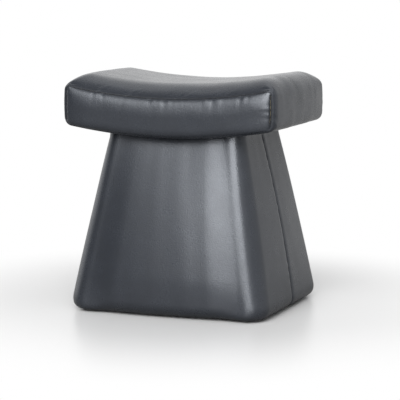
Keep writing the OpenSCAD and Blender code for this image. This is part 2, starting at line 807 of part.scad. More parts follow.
// Pedestal padding
// Each pad meets its neighbours on the corners' bisectors
module base_face_pad() {
    grid = [for (level = pad_levels()) let (row = pad_row(level, left_mitre, right_mitre))
        [for (p = row) [clamp(p[0], row[0][0] + fit_gap / 2, -row[0][0] - fit_gap / 2), p[1], p[2]]]];
    color(foam_colour)
        sheet(grid, [for (row = grid) [for (p = row)
            let (limit = half_width(p[2]) - base_padding)
            behind_corner([clamp(p[0], -limit, limit),
                base_padding - half_depth(p[2]) - fit_gap, p[2]])]]);
}
module base_front_pad() {
    base_face_pad();
}
module base_back_pad() {
    rotate(180) base_face_pad();
}
module base_side_pad() {
    grid = [for (level = pad_levels()) let (row = pad_row(level, right_mitre, right_seam),
            half = [for (p = row) [p[0], max(p[1], row[0][1] + fit_gap / 2), p[2]]])
        concat(half, [for (p = reversed(half)) [p[0], -p[1], p[2]]])];
    color(foam_colour)
        sheet(grid, [for (row = grid) [for (p = row)
            let (limit = half_depth(p[2]) - base_padding,
                x = half_width(p[2]) - base_padding + fit_gap)
            behind_corner([x, clamp(p[1], -limit, limit), min(p[2], saddle(neck_radius, x))])]]);
}
module base_left_pad() {
    rotate(180) base_side_pad();
}
module base_right_pad() {
    base_side_pad();
}

// Pedestal covers
module half_cover() {
    color(leather_colour)
        sheet(cover_rows(0), cover_rows(leather));
}
module base_cover_front() {
    half_cover();
}
module base_cover_back() {
    rotate(180) half_cover();
}
module base_dust_cloth() {
    inset = hem_depth + hem_width - cloth_lap;
    a = half_width(hem_clearance) - inset;
    b = half_depth(hem_clearance) - inset;
    r = base_corner - hem_depth;
    color(cloth_colour)
        translate([0, 0, hem_clearance - fit_gap - cloth])
            difference() {
                linear_extrude(cloth) {
                    square([2 * a, 2 * (b - r)], center = true);
                    square([2 * (a - r), 2 * b], center = true);
                    for (x = [-1, 1], y = [-1, 1])
                        translate([x * (a - r), y * (b - r)])
                            circle(r);
                }
                glide_places()
                    translate([0, 0, -over])
                        cylinder(2 * over, d = glide_diameter + 2 * fit_gap);
            }
}

// Bolts, washers and tee nuts
module joining_bolts() {
    top = tee_seat_z + tee_flange_thickness;
    low = top_rail_low - washer_thickness - fit_gap;
    color(steel_colour)
        bolt_places()
            translate([0, 0, low])
                difference() {
                    union() {
                        cylinder(top - low, d = bolt_diameter);
                        translate([0, 0, -bolt_head_height])
                            cylinder(bolt_head_height, d = bolt_head_diameter);
                    }
                    translate([0, 0, -bolt_head_height - over])
                        cylinder(over + socket_depth, d = socket_flats / cos(30), $fn = 6);
                }
}
module bolt_washers() {
    color(steel_colour)
        bolt_places()
            translate([0, 0, top_rail_low - washer_thickness])
                difference() {
                    cylinder(washer_thickness, d = washer_diameter);
                    translate([0, 0, -over])
                        cylinder(2 * over, d = bolt_hole);
                }
}
module tee_nuts() {
    bore = bolt_diameter + fit_gap;
    color(steel_colour)
        bolt_places()
            translate([0, 0, tee_seat_z])
                difference() {
                    union() {
                        cylinder(tee_flange_thickness, d = tee_flange_diameter);
                        translate([0, 0, -tee_barrel_length])
                            cylinder(tee_barrel_length, d = tee_barrel_diameter);
                    }
                    translate([0, 0, -tee_barrel_length - over])
                        cylinder(2 * (tee_barrel_length + over), d = bore);
                }
}

// Wood screws
module deck_screw_places() {
    y = rail_thickness / 2 - frame_y;
    for (s = deck_screw_shares)
        translate([0, y, saddle_z])
            rotate([0, -asin(s * frame_x / deck_radius), 0])
                translate([0, 0, -deck_radius - countersink])
                    children();
}
module frame_screw_places() {
    radius = between(frame_top_radius, frame_low_radius, 0.5);
    gap = (frame_low_radius - frame_top_radius) / 4;
    x = frame_x - rail_thickness / 2;
    for (side = [-1, 1], v = [-gap, gap])
        translate([side * x, countersink - frame_y, saddle(radius + v, x)])
            rotate([90, 0, 0])
                children();
}
module edge_screw_places(low_half, slope, tilt) {
    inset = post_width / 2;
    for (side = [-1, 1], share = panel_screw_shares)
        let (v = base_rise * share)
            translate([side * (low_half - slope * v * cos(tilt) - inset), v, -countersink])
                children();
}
// Along both edges of a face panel, and into the ends of the top rails
module face_screw_places() {
    face_frame() {
        edge_screw_places(half_width(carcass_floor) - base_padding - wall_x, side_slope, face_tilt)
            children();
        for (side = [-1, 1])
            translate([side * bolt_x, base_rise - top_rail_height / 2, -countersink])
                children();
    }
}
module side_screw_places() {
    side_frame()
        edge_screw_places(half_depth(carcass_floor) - base_padding - wall_y, face_slope, side_tilt)
            translate([0, screw_head, 0])
                children();
}
module deck_screws() {
    color(steel_colour)
        for (turn = [0, 180])
            rotate(turn) deck_screw_places() screw(0);
}
module frame_screws() {
    color(steel_colour)
        for (turn = [0, 180])
            rotate(turn) frame_screw_places() screw(0);
}
module panel_screws() {
    color(steel_colour)
        for (turn = [0, 180])
            rotate(turn) {
                face_screw_places() screw(0);
                side_screw_places() screw(0);
            }
}

// Floor glides
module glide_places() {
    x = half_width(carcass_floor) - base_padding - wall_x - post_width / 2;
    y = half_depth(carcass_floor) - base_padding - wall_y - post_width / 2;
    for (sx = [-1, 1], sy = [-1, 1])
        translate([sx * x, sy * y, 0])
            children();
}
module nail_cut() {
    cylinder(carcass_floor + nail_length + fit_gap, d = nail_diameter + 2 * screw_gap);
}
module floor_glides() {
    r = glide_diameter / 2;
    top = carcass_floor - fit_gap;
    edge = top / 3;
    seat = top / 2;
    color(glide_colour)
        glide_places()
            difference() {
                rotate_extrude()
                    polygon([[0, 0], [r - 2 * edge, 0], [r - edge / 2, edge / 2], [r, edge * 1.5],
                        [r, top], [0, top]]);
                translate([0, 0, seat])
                    cylinder(carcass_floor, d = nail_diameter + 2 * screw_gap);
            }
}
module glide_nails() {
    low = (carcass_floor - fit_gap) / 2 + screw_gap;
    tip = nail_diameter;
    color(steel_colour)
        glide_places()
            translate([0, 0, low])
                rotate_extrude()
                    polygon([[0, 0], [nail_diameter / 2, 0],
                        [nail_diameter / 2, carcass_floor + nail_length - low - tip],
                        [0, carcass_floor + nail_length - low]]);
}

seat_front_rail();
seat_back_rail();
seat_left_rail();
seat_right_rail();
seat_left_cross_rail();
seat_right_cross_rail();
seat_corner_blocks();
seat_deck();
seat_foam();
seat_front_pad();
seat_back_pad();
seat_left_pad();
seat_right_pad();
seat_cover_top();
seat_cover_front();
seat_cover_back();
seat_dust_cloth();
base_front_panel();
base_back_panel();
base_left_panel();
base_right_panel();
base_front_left_post();
base_front_right_post();
base_back_left_post();
base_back_right_post();
base_left_top_rail();
base_right_top_rail();
base_front_foot_rail();
base_back_foot_rail();
base_left_foot_rail();
base_right_foot_rail();
base_front_pad();
base_back_pad();
base_left_pad();
base_right_pad();
base_cover_front();
base_cover_back();
base_dust_cloth();
joining_bolts();
bolt_washers();
tee_nuts();
deck_screws();
frame_screws();
panel_screws();
floor_glides();
glide_nails();
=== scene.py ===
"""Shoe fitting stool: the leather, foam, cloth, thread and finishes over its frame."""

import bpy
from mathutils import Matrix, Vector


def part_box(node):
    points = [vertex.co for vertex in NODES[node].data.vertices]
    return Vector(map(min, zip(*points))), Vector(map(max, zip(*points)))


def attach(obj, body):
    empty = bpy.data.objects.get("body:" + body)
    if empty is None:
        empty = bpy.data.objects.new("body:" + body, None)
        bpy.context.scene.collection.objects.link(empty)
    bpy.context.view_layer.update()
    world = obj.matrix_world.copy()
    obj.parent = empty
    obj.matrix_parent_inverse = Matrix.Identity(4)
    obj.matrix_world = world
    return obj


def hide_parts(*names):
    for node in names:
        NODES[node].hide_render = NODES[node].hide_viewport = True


bl_info = {
    "name": "Shoe fitting stool",
    "version": (1, 0, 0),
    "blender": (4, 5, 0),
    "location": "3D View > Sidebar > Stool",
    "description": "Upholsters a saddle-seat stool and sets it in a plain studio",
    "category": "Object",
}

import math
from collections import namedtuple

import bpy
import numpy as np
from bpy.props import FloatProperty, FloatVectorProperty, IntProperty, PointerProperty
from mathutils import Matrix, Vector
from mathutils.geometry import delaunay_2d_cdt

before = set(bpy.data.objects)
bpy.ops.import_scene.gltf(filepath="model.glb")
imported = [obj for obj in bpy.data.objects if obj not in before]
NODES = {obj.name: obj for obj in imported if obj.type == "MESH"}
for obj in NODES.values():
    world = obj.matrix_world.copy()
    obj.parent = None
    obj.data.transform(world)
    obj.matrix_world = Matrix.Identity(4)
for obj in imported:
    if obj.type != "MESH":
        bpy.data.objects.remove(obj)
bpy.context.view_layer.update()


# Sizes and colours

def length(name, description, default, low=0.0, high=3.0):
    """A size in metres."""
    return FloatProperty(name=name, description=description, default=default, min=low,
                         max=high, unit="LENGTH", precision=4)


def share(name, description, default, low=0.0, high=1.0):
    """A plain factor."""
    return FloatProperty(name=name, description=description, default=default, min=low,
                         max=high, subtype="FACTOR")


def colour(name, description, default):
    """A linear colour."""
    return FloatVectorProperty(name=name, description=description, default=default, size=3,
                               min=0, max=1, subtype="COLOR")


class SeatSizes(bpy.types.PropertyGroup):
    """Sizes of the padded seat"""

    length: length("Length", "Overall length across the padded ends", 0.441)
    depth: length("Depth", "Overall depth over the front and back panels", 0.315)
    mid_height: length("Middle height", "Height of the lowest line of the saddle", 0.4423)
    saddle: length("Saddle radius", "Radius of the lengthwise curve", 1.053)
    thickness: length("Thickness", "From the top down to the underside", 0.102)
    crown: length("Crown", "Drop from the middle to where the front roll starts", 0.0015)
    front_drop: length("Front drop", "How far the front and back seams lie below the top", 0.0265)
    front_roll: length("Front roll", "How far in from a seam the front roll starts", 0.060)
    end_roll: length("End roll", "Radius where the top turns down each end", 0.0395)
    corner_roll: length("Corner roll", "Radius of that roll at the seams", 0.007)
    under_roll: length("Under roll", "Radius where each end turns under", 0.017)
    end_draw: length("End draw", "How far the ends draw in at the corner seams", 0.012)
    end_roll_width: length("End roll width", "Width of the ends' roll to the seams", 0.0175)
    end_swell: length("End swell", "Swell of each end between its rolls", 0.001)
    under_draw: length("Under draw", "Rise of the underside at the seams", 0.003)
    panel_swell: length("Panel swell", "Swell of the front and back panels", 0.006)
    panel_edge: length("Panel edge", "Width over which a panel swells out", 0.017)
    panel_slope: length("Panel slope", "Height of a panel's long slope under its seam", 0.036)
    panel_crown: length("Panel crown", "How far a panel stands out over its swell", 0.003)
    hem: length("Hem", "Width of the leather turned under", 0.032)


class PedestalSizes(bpy.types.PropertyGroup):
    """Sizes of the padded pedestal"""

    width: length("Width", "Width at the floor", 0.409)
    depth: length("Depth", "Depth at the floor", 0.356)
    neck_width: length("Neck width", "Width under the seat", 0.277)
    neck_depth: length("Neck depth", "Depth under the seat", 0.244)
    corner: length("Corner", "Radius of the upright corners at the floor", 0.042)
    neck_corner: length("Neck corner", "Radius of the upright corners at the neck", 0.030)
    side_swell: length("Side swell", "Swell of the sides at mid height", 0.006)
    side_swell_low: length("Low side swell", "Swell of the sides at the floor", 0.002)
    face_swell: length("Face swell", "Swell of the front and back at mid height", 0.009)
    face_swell_low: length("Low face swell", "Swell of the front and back at the floor", 0.015)
    hem_height: length("Hem height", "Height of the rolled hem", 0.026)
    hem_depth: length("Hem depth", "How far the rolled hem curves in", 0.020)
    hem_width: length("Hem width", "Width of the leather turned under", 0.011)
    clearance: length("Clearance", "Height of the hem above the floor", 0.004)
    groove: length("Seam groove", "Depth of the groove along the side seams", 0.0014)
    groove_width: length("Groove width", "Half width of that groove", 0.009)
    hollow: length("Hollow", "Depth of the hollow beside each upright corner", 0.0052)
    foot_height: length("Foot height", "Where the front and back start to curve in", 0.078)
    foot_draw: length("Foot draw", "How far they have curved in at the floor", 0.010)


class PaddingSizes(bpy.types.PropertyGroup):
    """Sizes of the leather, foam and cloth"""

    leather: length("Leather", "Thickness of the leather", 0.0015)
    gap: length("Gap", "Gap between neighbouring pieces", 0.0003)
    slab: length("Slab", "Thickness of the seat's foam slab", 0.036)
    side_foam: length("Side foam", "Foam between the seat frame and the seams", 0.012)
    wall: length("Wall padding", "Foam and leather on the pedestal's walls", 0.016)
    cloth: length("Cloth", "Thickness of the black cloth", 0.0006)
    cloth_lap: length("Cloth lap", "How far the cloth laps over the leather", 0.009)
    pucker: length("Pucker", "Height of the puckers along the seams", 0.00035)
    ripple: length("Ripple", "Height of the leather's soft unevenness", 0.0003)


class SewingSizes(bpy.types.PropertyGroup):
    """Sizes of the thread and staples"""

    pitch: length("Stitch pitch", "Distance from stitch to stitch", 0.0042)
    stitch: length("Stitch length", "Length of a stitch across its seam", 0.0022)
    thread: length("Thread", "Radius of the thread", 0.00032)
    staple_pitch: length("Staple pitch", "Distance from staple to staple", 0.034)
    staple_width: length("Staple width", "Width of a staple's crown", 0.0095)
    staple_wire: length("Staple wire", "Width of the staple's wire", 0.0011)
    seed: IntProperty(name="Seed", description="Seed of the small irregularities", default=7)


class FinishLook(bpy.types.PropertyGroup):
    """Colours and gloss"""

    leather: colour("Leather", "Slate leather", (0.030, 0.0335, 0.041))
    leather_worn: colour("Worn leather", "Where the leather is rubbed", (0.040, 0.044, 0.052))
    # Painted shade: the dark leather laid into the grooves along the seams
    leather_deep: colour("Deep leather", "In folds and along seams", (0.009, 0.010, 0.013))
    roughness: share("Roughness", "Roughness of the leather", 0.28)
    grain: length("Grain", "Size of the leather's grain", 0.0019)
    thread: colour("Thread", "Sewing thread", (0.030, 0.033, 0.040))
    foam: colour("Foam", "Upholstery foam", (0.74, 0.66, 0.44))
    cloth: colour("Cloth", "Dust cloth", (0.012, 0.012, 0.014))
    timber: colour("Timber", "Softwood", (0.56, 0.37, 0.19))
    plywood: colour("Plywood", "Birch plywood", (0.60, 0.44, 0.26))
    steel: colour("Steel", "Zinc-plated steel", (0.60, 0.61, 0.62))
    glide: colour("Glide", "Black plastic", (0.018, 0.018, 0.020))
    floor: colour("Floor", "Pale floor", (0.70, 0.70, 0.70))
    floor_bounce: colour("Floor bounce", "Floor as the stool's light sees it",
                         (0.18, 0.18, 0.18))


class StudioLook(bpy.types.PropertyGroup):
    """Camera and lamps"""

    focal: FloatProperty(name="Focal length", description="In millimetres on a 36 mm frame",
                         default=171.54, min=20, max=400)
    azimuth: FloatProperty(name="Azimuth", description="Camera's turn round the stool",
                           default=math.radians(20.901), subtype="ANGLE")
    elevation: FloatProperty(name="Elevation", description="Camera's tilt",
                             default=math.radians(7.582), subtype="ANGLE")
    eye: FloatVectorProperty(name="Eye", description="Place of the camera", size=3,
                             default=(1.33596, -3.47328, 0.70023), subtype="TRANSLATION")
    key: FloatProperty(name="Key", description="Power of the main lamp", default=94, min=0)
    room: share("Room", "Light of the room itself", 1.0, 0, 2)


# Surfaces of the seat and the pedestal

SIDES = (("front", 1), ("back", -1))
ENDS = (("right", 1), ("left", -1))
TINY = 1e-12  # Keeps a division away from zero
UPRIGHT_SHARE = 0.12  # Share of a front roll that meets its seam upright
BOW_SHARE = 1 / 3  # Share of an end's draw that bows over the whole depth
UNDER_WIDTH = 3  # Width of the underside's rise at a seam, over its height
QUICK_SHARE = 0.22  # Share of a panel's swell that comes close under its top seam
QUICK_STEEPNESS = 1.6  # How soon that share comes, over the corner roll
EDGE_SHARE = 0.55  # Share of a panel's swell that comes close beside its ends
WIDE_EDGE = 0.048  # Width over which the rest of that swell comes
MIDDLE_CROWN = 0.5  # How much more crown a panel has in its middle than at its ends
STRIP_COUNTS = (8, 8, 18, 20, 62)  # Points on a row's hem, low roll, end, top roll, half top
SLAB_COUNTS = (14, 48)  # Points on a row's roll and half top
HOLLOW_START, HOLLOW_RUN = 0.46, 0.32  # Where a hollow starts and deepens, of the half width
HOLLOW_STOP, HOLLOW_END = 0.97, 0.2  # Where it stops, and the run over which it ends
HOLLOW_LOSS = 0.6  # Share of the hollow's depth that is gone at the neck
FOOT_STOP, FOOT_END = 0.9, 0.35  # Where the foot's draw stops, and the run of its end
GROOVE_STEEPNESS = 1.6  # How steep a groove's walls are
CORNER_LIMIT = 1e-6  # Under this, in metres, a point isn't on a corner
FAR_OFF = 2.0  # An angle that no fold of a corner reaches


def quarter(part):
    """Quarter ellipse that leaves its side flat and arrives upright."""
    return 1 - np.sqrt(1 - np.clip(part, 0, 1) ** 2)


def shoulder(part):
    """Falls away slowly and meets a seam at a slant."""
    return UPRIGHT_SHARE * quarter(part) + (1 - UPRIGHT_SHARE) * np.clip(part, 0, 1) ** 2


def smooth(part):
    """An even step from 0 to 1."""
    part = np.clip(part, 0, 1)
    return part * part * (3 - 2 * part)


def bell(value, centre, width):
    """1 at the centre, and falls off over the width to both sides."""
    return np.exp(-((value - centre) / width) ** 2)


def spaced(total, fine, coarse, growth=1.25):
    """Places from 0 to total that start fine at both ends and widen to coarse."""
    steps, step = [0.0], fine
    while steps[-1] < total / 2:
        steps.append(steps[-1] + step)
        step = min(step * growth, coarse)
    half = np.array(steps) * (total / 2 / steps[-1])
    return np.concatenate([half, total - half[-2::-1]])


def waves(seed, size, *places, count=28):
    """A smooth uneven field of about unit height, with bumps of about that size."""
    rng = np.random.RandomState(seed)
    total = 0
    for _ in range(count):
        way = rng.normal(size=len(places))
        way *= 2 * math.pi / size * rng.uniform(0.6, 1.5) / np.linalg.norm(way)
        total = total + np.cos(sum(w * p for w, p in zip(way, places)) + rng.uniform(0, 6.28))
    return total / math.sqrt(count / 2)


def unit(vectors):
    return vectors / np.maximum(np.linalg.norm(vectors, axis=-1, keepdims=True), TINY)


def grid_normals(grid, way):
    """Unit normals of a grid of points, on the side that points the given way."""
    normals = unit(np.cross(np.gradient(grid, axis=1), np.gradient(grid, axis=0)))
    return normals if np.sum(normals * way) >= 0 else -normals


def round_points(across, up, radius, angles):
    """Points of an arc about a centre."""
    return np.stack([across + radius * np.cos(angles), up + radius * np.sin(angles)], -1)


def whole_row(half, y):
    """A row at y, from its half that ends in the middle."""
    return np.insert(np.concatenate([half, half[-2::-1] * [-1, 1]]), 1, y, axis=1)


Section = namedtuple("Section", "half top_roll low_roll top_arc low_arc")


class SeatForm:
    """The seat's surfaces at a depth d under the leather's outer face."""

    def __init__(self, scene):
        self.size, self.pad = scene.stool_seat, scene.stool_padding
        seat, pad = self.size, self.pad
        self.seam_y = seat.depth / 2 - seat.panel_swell
        self.seam_x = seat.length / 2 - seat.end_draw
        self.centre_z = seat.mid_height + seat.saddle
        self.skin = pad.leather + pad.gap
        self.frame_y = self.seam_y - self.skin - pad.side_foam - pad.gap
        self.frame_x = self.seam_x - self.skin - pad.side_foam - pad.gap
        self.slab_radius = seat.saddle + self.skin + pad.slab
        self.under_radius = seat.saddle + seat.thickness
        self.cloth_radius = self.under_radius + pad.gap
        self.neck_radius = self.cloth_radius + pad.cloth + pad.gap
        self.seam = self.section(self.seam_y, 0)
        self.panel_half = self.seam.half - pad.gap

    def arc(self, radius, x):
        return self.centre_z - np.sqrt(radius ** 2 - x ** 2)

    def on_arc(self, radius, x):
        return np.stack([x, self.arc(radius, x)], -1)

    def section(self, y, d):
        """Half length, radii of the end rolls, and radii of the top and underside at y."""
        seat, y = self.size, np.abs(y)
        top = d + seat.crown * (y / self.seam_y) ** 2 + (
            seat.front_drop - seat.crown * (1 - d / self.seam_y) ** 2 - d) * shoulder(
            (y - self.seam_y + seat.front_roll) / (seat.front_roll - d))
        roll = seat.end_roll - d - (seat.end_roll - seat.corner_roll) * (
            top - d) / seat.front_drop
        bow = seat.end_draw * BOW_SHARE
        end = d + bow * (y / self.seam_y) ** 2 + (
            seat.end_draw - bow * (1 - d / self.seam_y) ** 2 - d) * quarter(
            (y - self.seam_y + seat.end_roll_width) / (seat.end_roll_width - d))
        width = UNDER_WIDTH * seat.under_draw
        under = d + (seat.under_draw - min(d, seat.under_draw)) * quarter(
            (y - self.seam_y + width) / (width - d))
        return Section(seat.length / 2 - end - seat.end_swell, roll,
                       np.maximum(seat.under_roll - under, self.pad.leather),
                       seat.saddle + top, self.under_radius - under)

    def corners(self, s):
        """Centres of the top and the lower end roll, as x and z."""
        top_x, low_x = s.half - s.top_roll, s.half - s.low_roll
        return ((top_x, self.arc(s.top_arc + s.top_roll, top_x)),
                (low_x, self.arc(s.low_arc - s.low_roll, low_x)))

    def top_height(self, s, x):
        return self.rolled_height(self.corners(s)[0], s.top_arc, s.top_roll, 1, x)

    def low_height(self, s, x):
        return self.rolled_height(self.corners(s)[1], s.low_arc, s.low_roll, -1, x)

    def rolled_height(self, centre, radius, roll, up, x):
        """Height of an arc that turns into rolls above or below their centres."""
        (cx, cz), x = centre, np.abs(x)
        rolled = cz + up * np.sqrt(np.maximum(roll ** 2 - (x - cx) ** 2, 0))
        return np.where(x <= cx * radius / (radius + up * roll), self.arc(radius, x), rolled)

    def end_x(self, s, z):
        (x, top), (_, low) = self.corners(s)
        middle = (2 * z - top - low) / (top - low)
        roll = x + np.sqrt(np.maximum(s.top_roll ** 2 - np.maximum(z - top, 0) ** 2, 0))
        return np.where(z > top, roll,
                        s.half + self.size.end_swell * np.maximum(1 - middle ** 2, 0))

    def over_top(self, s, first, rolls, flats):
        """Points from an angle of the end's top roll over to the middle of the top."""
        x, z = self.corners(s)[0]
        roll_arc = s.top_arc + s.top_roll
        angles = np.linspace(first, math.pi / 2 + math.asin(x / roll_arc), rolls)
        flat = np.linspace(x * s.top_arc / roll_arc, 0, flats)[1:]
        return [round_points(x, z, s.top_roll, angles), self.on_arc(s.top_arc, flat)]

    def strip_row(self, y, d, reach):
        """One row of the top strip, from under the left end over to the right one."""
        s = self.section(y, d)
        (_, tz), (lx, lz) = self.corners(s)
        hems, lows, ends, tops, flats = STRIP_COUNTS
        roll_arc = s.low_arc - s.low_roll
        low_edge = lx * s.low_arc / roll_arc
        hem_x = np.linspace(min(low_edge, self.seam_x - reach), low_edge, hems)[:-1]
        angles = np.linspace(math.asin(lx / roll_arc) - math.pi / 2, 0, lows)
        z = np.linspace(lz, tz, ends)[1:-1]
        half = [self.on_arc(s.low_arc, hem_x), round_points(lx, lz, s.low_roll, angles),
                np.stack([self.end_x(s, z), z], -1), *self.over_top(s, 0, tops, flats)]
        return whole_row(np.concatenate(half), y)

    def slab_row(self, y, d):
        """One row of the foam slab's top, out to where each roll meets its underside."""
        s = self.section(y, d)
        rise = (self.arc(self.slab_radius, s.half) - self.corners(s)[0][1]) / s.top_roll
        first = math.asin(min(max(rise, 0), 1))
        return whole_row(np.concatenate(self.over_top(s, first, *SLAB_COUNTS)), y)

    def reach(self, y):
        return min(max(self.seam_y - abs(y), 0), self.size.hem)

    def rise(self, distance):
        return 1 - quarter(1 - distance / self.size.panel_edge)

    def panel_edges(self, x):
        """Heights of a panel's lower and upper edge."""
        gap = self.pad.gap
        return self.low_height(self.seam, x) + gap, self.top_height(self.seam, x) - gap

    def panel_y(self, x, z, d=0.0):
        """How far a panel stands out at x and z, to its face or d behind it."""
        seat, (low, top) = self.size, self.panel_edges(x)
        under = np.maximum(top - z, 0)
        quick = 1 - np.exp(-under / seat.corner_roll * QUICK_STEEPNESS)
        slope = np.clip(1 - under / seat.panel_slope, 0, 1)
        upper = QUICK_SHARE * quick + (1 - QUICK_SHARE) * (1 - slope ** 2)
        lower = self.rise(np.clip(z - low, 0, seat.panel_edge))
        inner = self.panel_half - np.abs(x)
        wide = np.clip(1 - inner / WIDE_EDGE, 0, 1)
        side = EDGE_SHARE * self.rise(inner) + (1 - EDGE_SHARE) * (1 - wide ** 2)
        crown = 1 + MIDDLE_CROWN * (1 - (x / self.panel_half) ** 2)
        swell = seat.panel_swell + seat.panel_crown * crown
        return self.seam_y + swell * side * upper * lower - d


class PedestalForm:
    """The pedestal's surfaces at a depth d under the leather's outer face."""

    def __init__(self, scene, seat):
        self.size, self.pad, self.seat = scene.stool_pedestal, scene.stool_padding, seat
        self.neck_z = seat.centre_z - seat.neck_radius
        self.hem_top = self.size.clearance + self.size.hem_height

    def level(self, z):
        return (z - self.size.clearance) / (self.neck_z - self.size.clearance)

    def tapered(self, name, z):
        """A size that goes evenly from its value at the floor to the one at the neck."""
        low, neck = getattr(self.size, name), getattr(self.size, "neck_" + name)
        return low + (neck - low) * self.level(z)

    def halves(self, z, d=0.0):
        return self.tapered("width", z) / 2 - d, self.tapered("depth", z) / 2 - d

    def outline(self, z, d, sides, corners, faces):
        """Front half of a level's outline, from the left side seam to the right one."""
        t, p, (a, b) = self.level(z), self.size, self.halves(z, d)
        r = max(self.tapered("corner", z) - d, self.pad.leather)
        side = np.stack([np.full(len(sides), -a), -sides * (b - r)], -1)
        corner = round_points(r - a, r - b, r, np.linspace(math.pi, 1.5 * math.pi, corners))
        run = np.linspace(-1, 1, faces)[1:-1] * (a - r)
        face = np.stack([run, np.full(len(run), -b)], -1)
        left = np.concatenate([side, corner[1:]])
        x, y = np.concatenate([left, face, left[::-1] * [-1, 1]]).T
        middle = 4 * t * (1 - t)
        side_bow = max(p.side_swell_low * (1 - t) + p.side_swell * middle, 0)
        face_bow = max(p.face_swell_low * (1 - t) + p.face_swell * middle, 0)
        groove = p.groove * bell(y, 0, p.groove_width / GROOVE_STEEPNESS)
        reach, above = np.abs(x) / a, z - p.clearance
        hollow = p.hollow * (1 - HOLLOW_LOSS * t) * smooth(above / p.hem_height) * smooth(
            (reach - HOLLOW_START) / HOLLOW_RUN) * smooth((HOLLOW_STOP - reach) / HOLLOW_END)
        foot = p.foot_draw * max(1 - above / p.foot_height, 0) ** 2 * smooth(
            (FOOT_STOP - reach) / FOOT_END)
        out_x = smooth(2 * reach - 1) * side_bow * np.maximum(1 - (y / b) ** 2, 0) - groove
        out_y = smooth(2 * np.abs(y) / b - 1) * (
            face_bow * np.maximum(1 - (x / a) ** 2, 0) - hollow - foot)
        return np.stack([x + np.sign(x) * out_x, y + np.sign(y) * out_y], -1)

    def rows(self, d, heights, angles, *counts):
        """Rows from the neck down round the hem at these angles, and their levels."""
        rows, levels = [self.neck(d, *counts)], [self.neck_z]
        places = [(d, z) for z in np.linspace(self.neck_z, self.hem_top, heights)[1:-1]]
        for inset, z in places + [self.hem(angle, d) for angle in angles]:
            rows.append(np.insert(self.outline(z, inset, *counts), 2, z, axis=1))
            levels.append(z)
        return rows, levels

    def seam_x(self, z, d):
        """Half width in the groove of the side seams."""
        return -self.outline(z, d, np.array([0.0, 1.0]), 3, 4)[0, 0]

    def hem_edge(self, z, *counts):
        """The straight inner edge of the leather turned under the foot."""
        inset = self.size.hem_depth + self.size.hem_width
        a, b = self.halves(z, inset)
        swollen = self.outline(z, inset, *counts)
        return np.insert(np.clip(swollen, (-a, -b), (a, b)), 2, z, axis=1)

    def neck(self, d, *counts):
        points = self.outline(self.neck_z, d, *counts)
        return np.insert(points, 2, self.seat.arc(self.seat.neck_radius, points[:, 0]), axis=1)

    def behind_corner(self, points):
        """Draws a pad's inner points back behind the carcass's planed foot corners."""
        p, pad, skin = self.size, self.pad, self.seat.skin
        angle = math.acos((p.hem_depth - pad.wall) / (p.hem_depth - skin))
        floor, z = self.hem(angle, skin)[1], points[..., 2]
        limit = self.tapered("corner", floor) - pad.wall + z - floor
        a, b = self.halves(z)
        reach = (np.abs(points[..., 0]) - a + np.abs(points[..., 1]) - b
                 + 2 * self.tapered("corner", z)) / math.sqrt(2)
        back = np.maximum(reach - limit - pad.gap, 0) / math.sqrt(2)
        return points - np.sign(points) * [1, 1, 0] * back[..., None]

    def hem(self, angle, d):
        """Inset and height of the rolled hem at an angle round it."""
        p = self.size
        return (p.hem_depth - (p.hem_depth - d) * math.cos(angle),
                p.clearance + p.hem_height - (p.hem_height - d) * math.sin(angle))

    def corner_turn(self, x, y, z):
        """Angle from the corner's bisector about its centre, and far from it elsewhere."""
        (a, b), r = self.halves(z), self.size.corner
        cx, cy = np.maximum(np.abs(x) - (a - r), 0), np.maximum(np.abs(y) - (b - r), 0)
        return np.where(cx + cy > CORNER_LIMIT, np.arctan2(cx, cy) - math.pi / 4, FAR_OFF)


# Meshes

SHARP_ANGLE = math.radians(50)
# The seam mark is painted shade that darkens the leather in each seam's groove
SEAM_MARK = 0.0016  # Width of the mark that darkens the leather at a seam
RIPPLE_START = 0.02  # Distance from a seam over which the unevenness comes in


def mesh_piece(name, points, faces, material, **marks):
    """A finished object of these points and faces, with named marks on its points."""
    mesh = bpy.data.meshes.new(name)
    mesh.from_pydata(np.asarray(points).tolist(), [], np.asarray(faces).tolist())
    mesh.validate()
    for mark, values in marks.items():
        mesh.attributes.new(mark, "FLOAT", "POINT").data.foreach_set(
            "value", np.asarray(values, np.float32).ravel())
    mesh.shade_smooth()
    mesh.set_sharp_from_angle(angle=SHARP_ANGLE)
    mesh.materials.append(material)
    piece = bpy.data.objects.new(name, mesh)
    bpy.context.scene.collection.objects.link(piece)
    return piece


def volume(points, faces):
    """Signed volume of a closed mesh of four-sided faces."""
    a, b, c, d = (points[faces[:, k]] for k in range(4))
    return np.sum(a * np.cross(b, c)) / 6 + np.sum(a * np.cross(c, d)) / 6


def shell_piece(name, outer, inner, material, **marks):
    """A closed piece between an outer and an inner grid of points."""
    rows, columns = outer.shape[:2]
    count = rows * columns
    points = np.concatenate([outer.reshape(-1, 3), inner.reshape(-1, 3)])
    index = np.arange(count).reshape(rows, columns)
    quads = np.stack([index[:-1, :-1], index[:-1, 1:], index[1:, 1:], index[1:, :-1]],
                     -1).reshape(-1, 4)
    rim = np.concatenate([index[0], index[1:, -1], index[-1, -2::-1], index[-2:0:-1, 0]])
    after = np.roll(rim, -1)
    faces = np.concatenate([quads, (quads + count)[:, ::-1],
                            np.stack([after, rim, rim + count, after + count], -1)])
    if volume(points, faces) < 0:
        faces = faces[:, ::-1]
    doubled = {k: np.concatenate([v.ravel(), v.ravel()]) for k, v in marks.items()}
    return mesh_piece(name, points, faces, material, **doubled)


def turned(points, turn):
    """The points, or the points turned half round the stool where turn is -1."""
    return points * [turn, turn, 1]


def finish_piece(piece, nodes):
    """Rides on the stool and stands for its nodes, which it hides."""
    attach(piece, "root")
    if nodes:
        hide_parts(*nodes)
    return piece


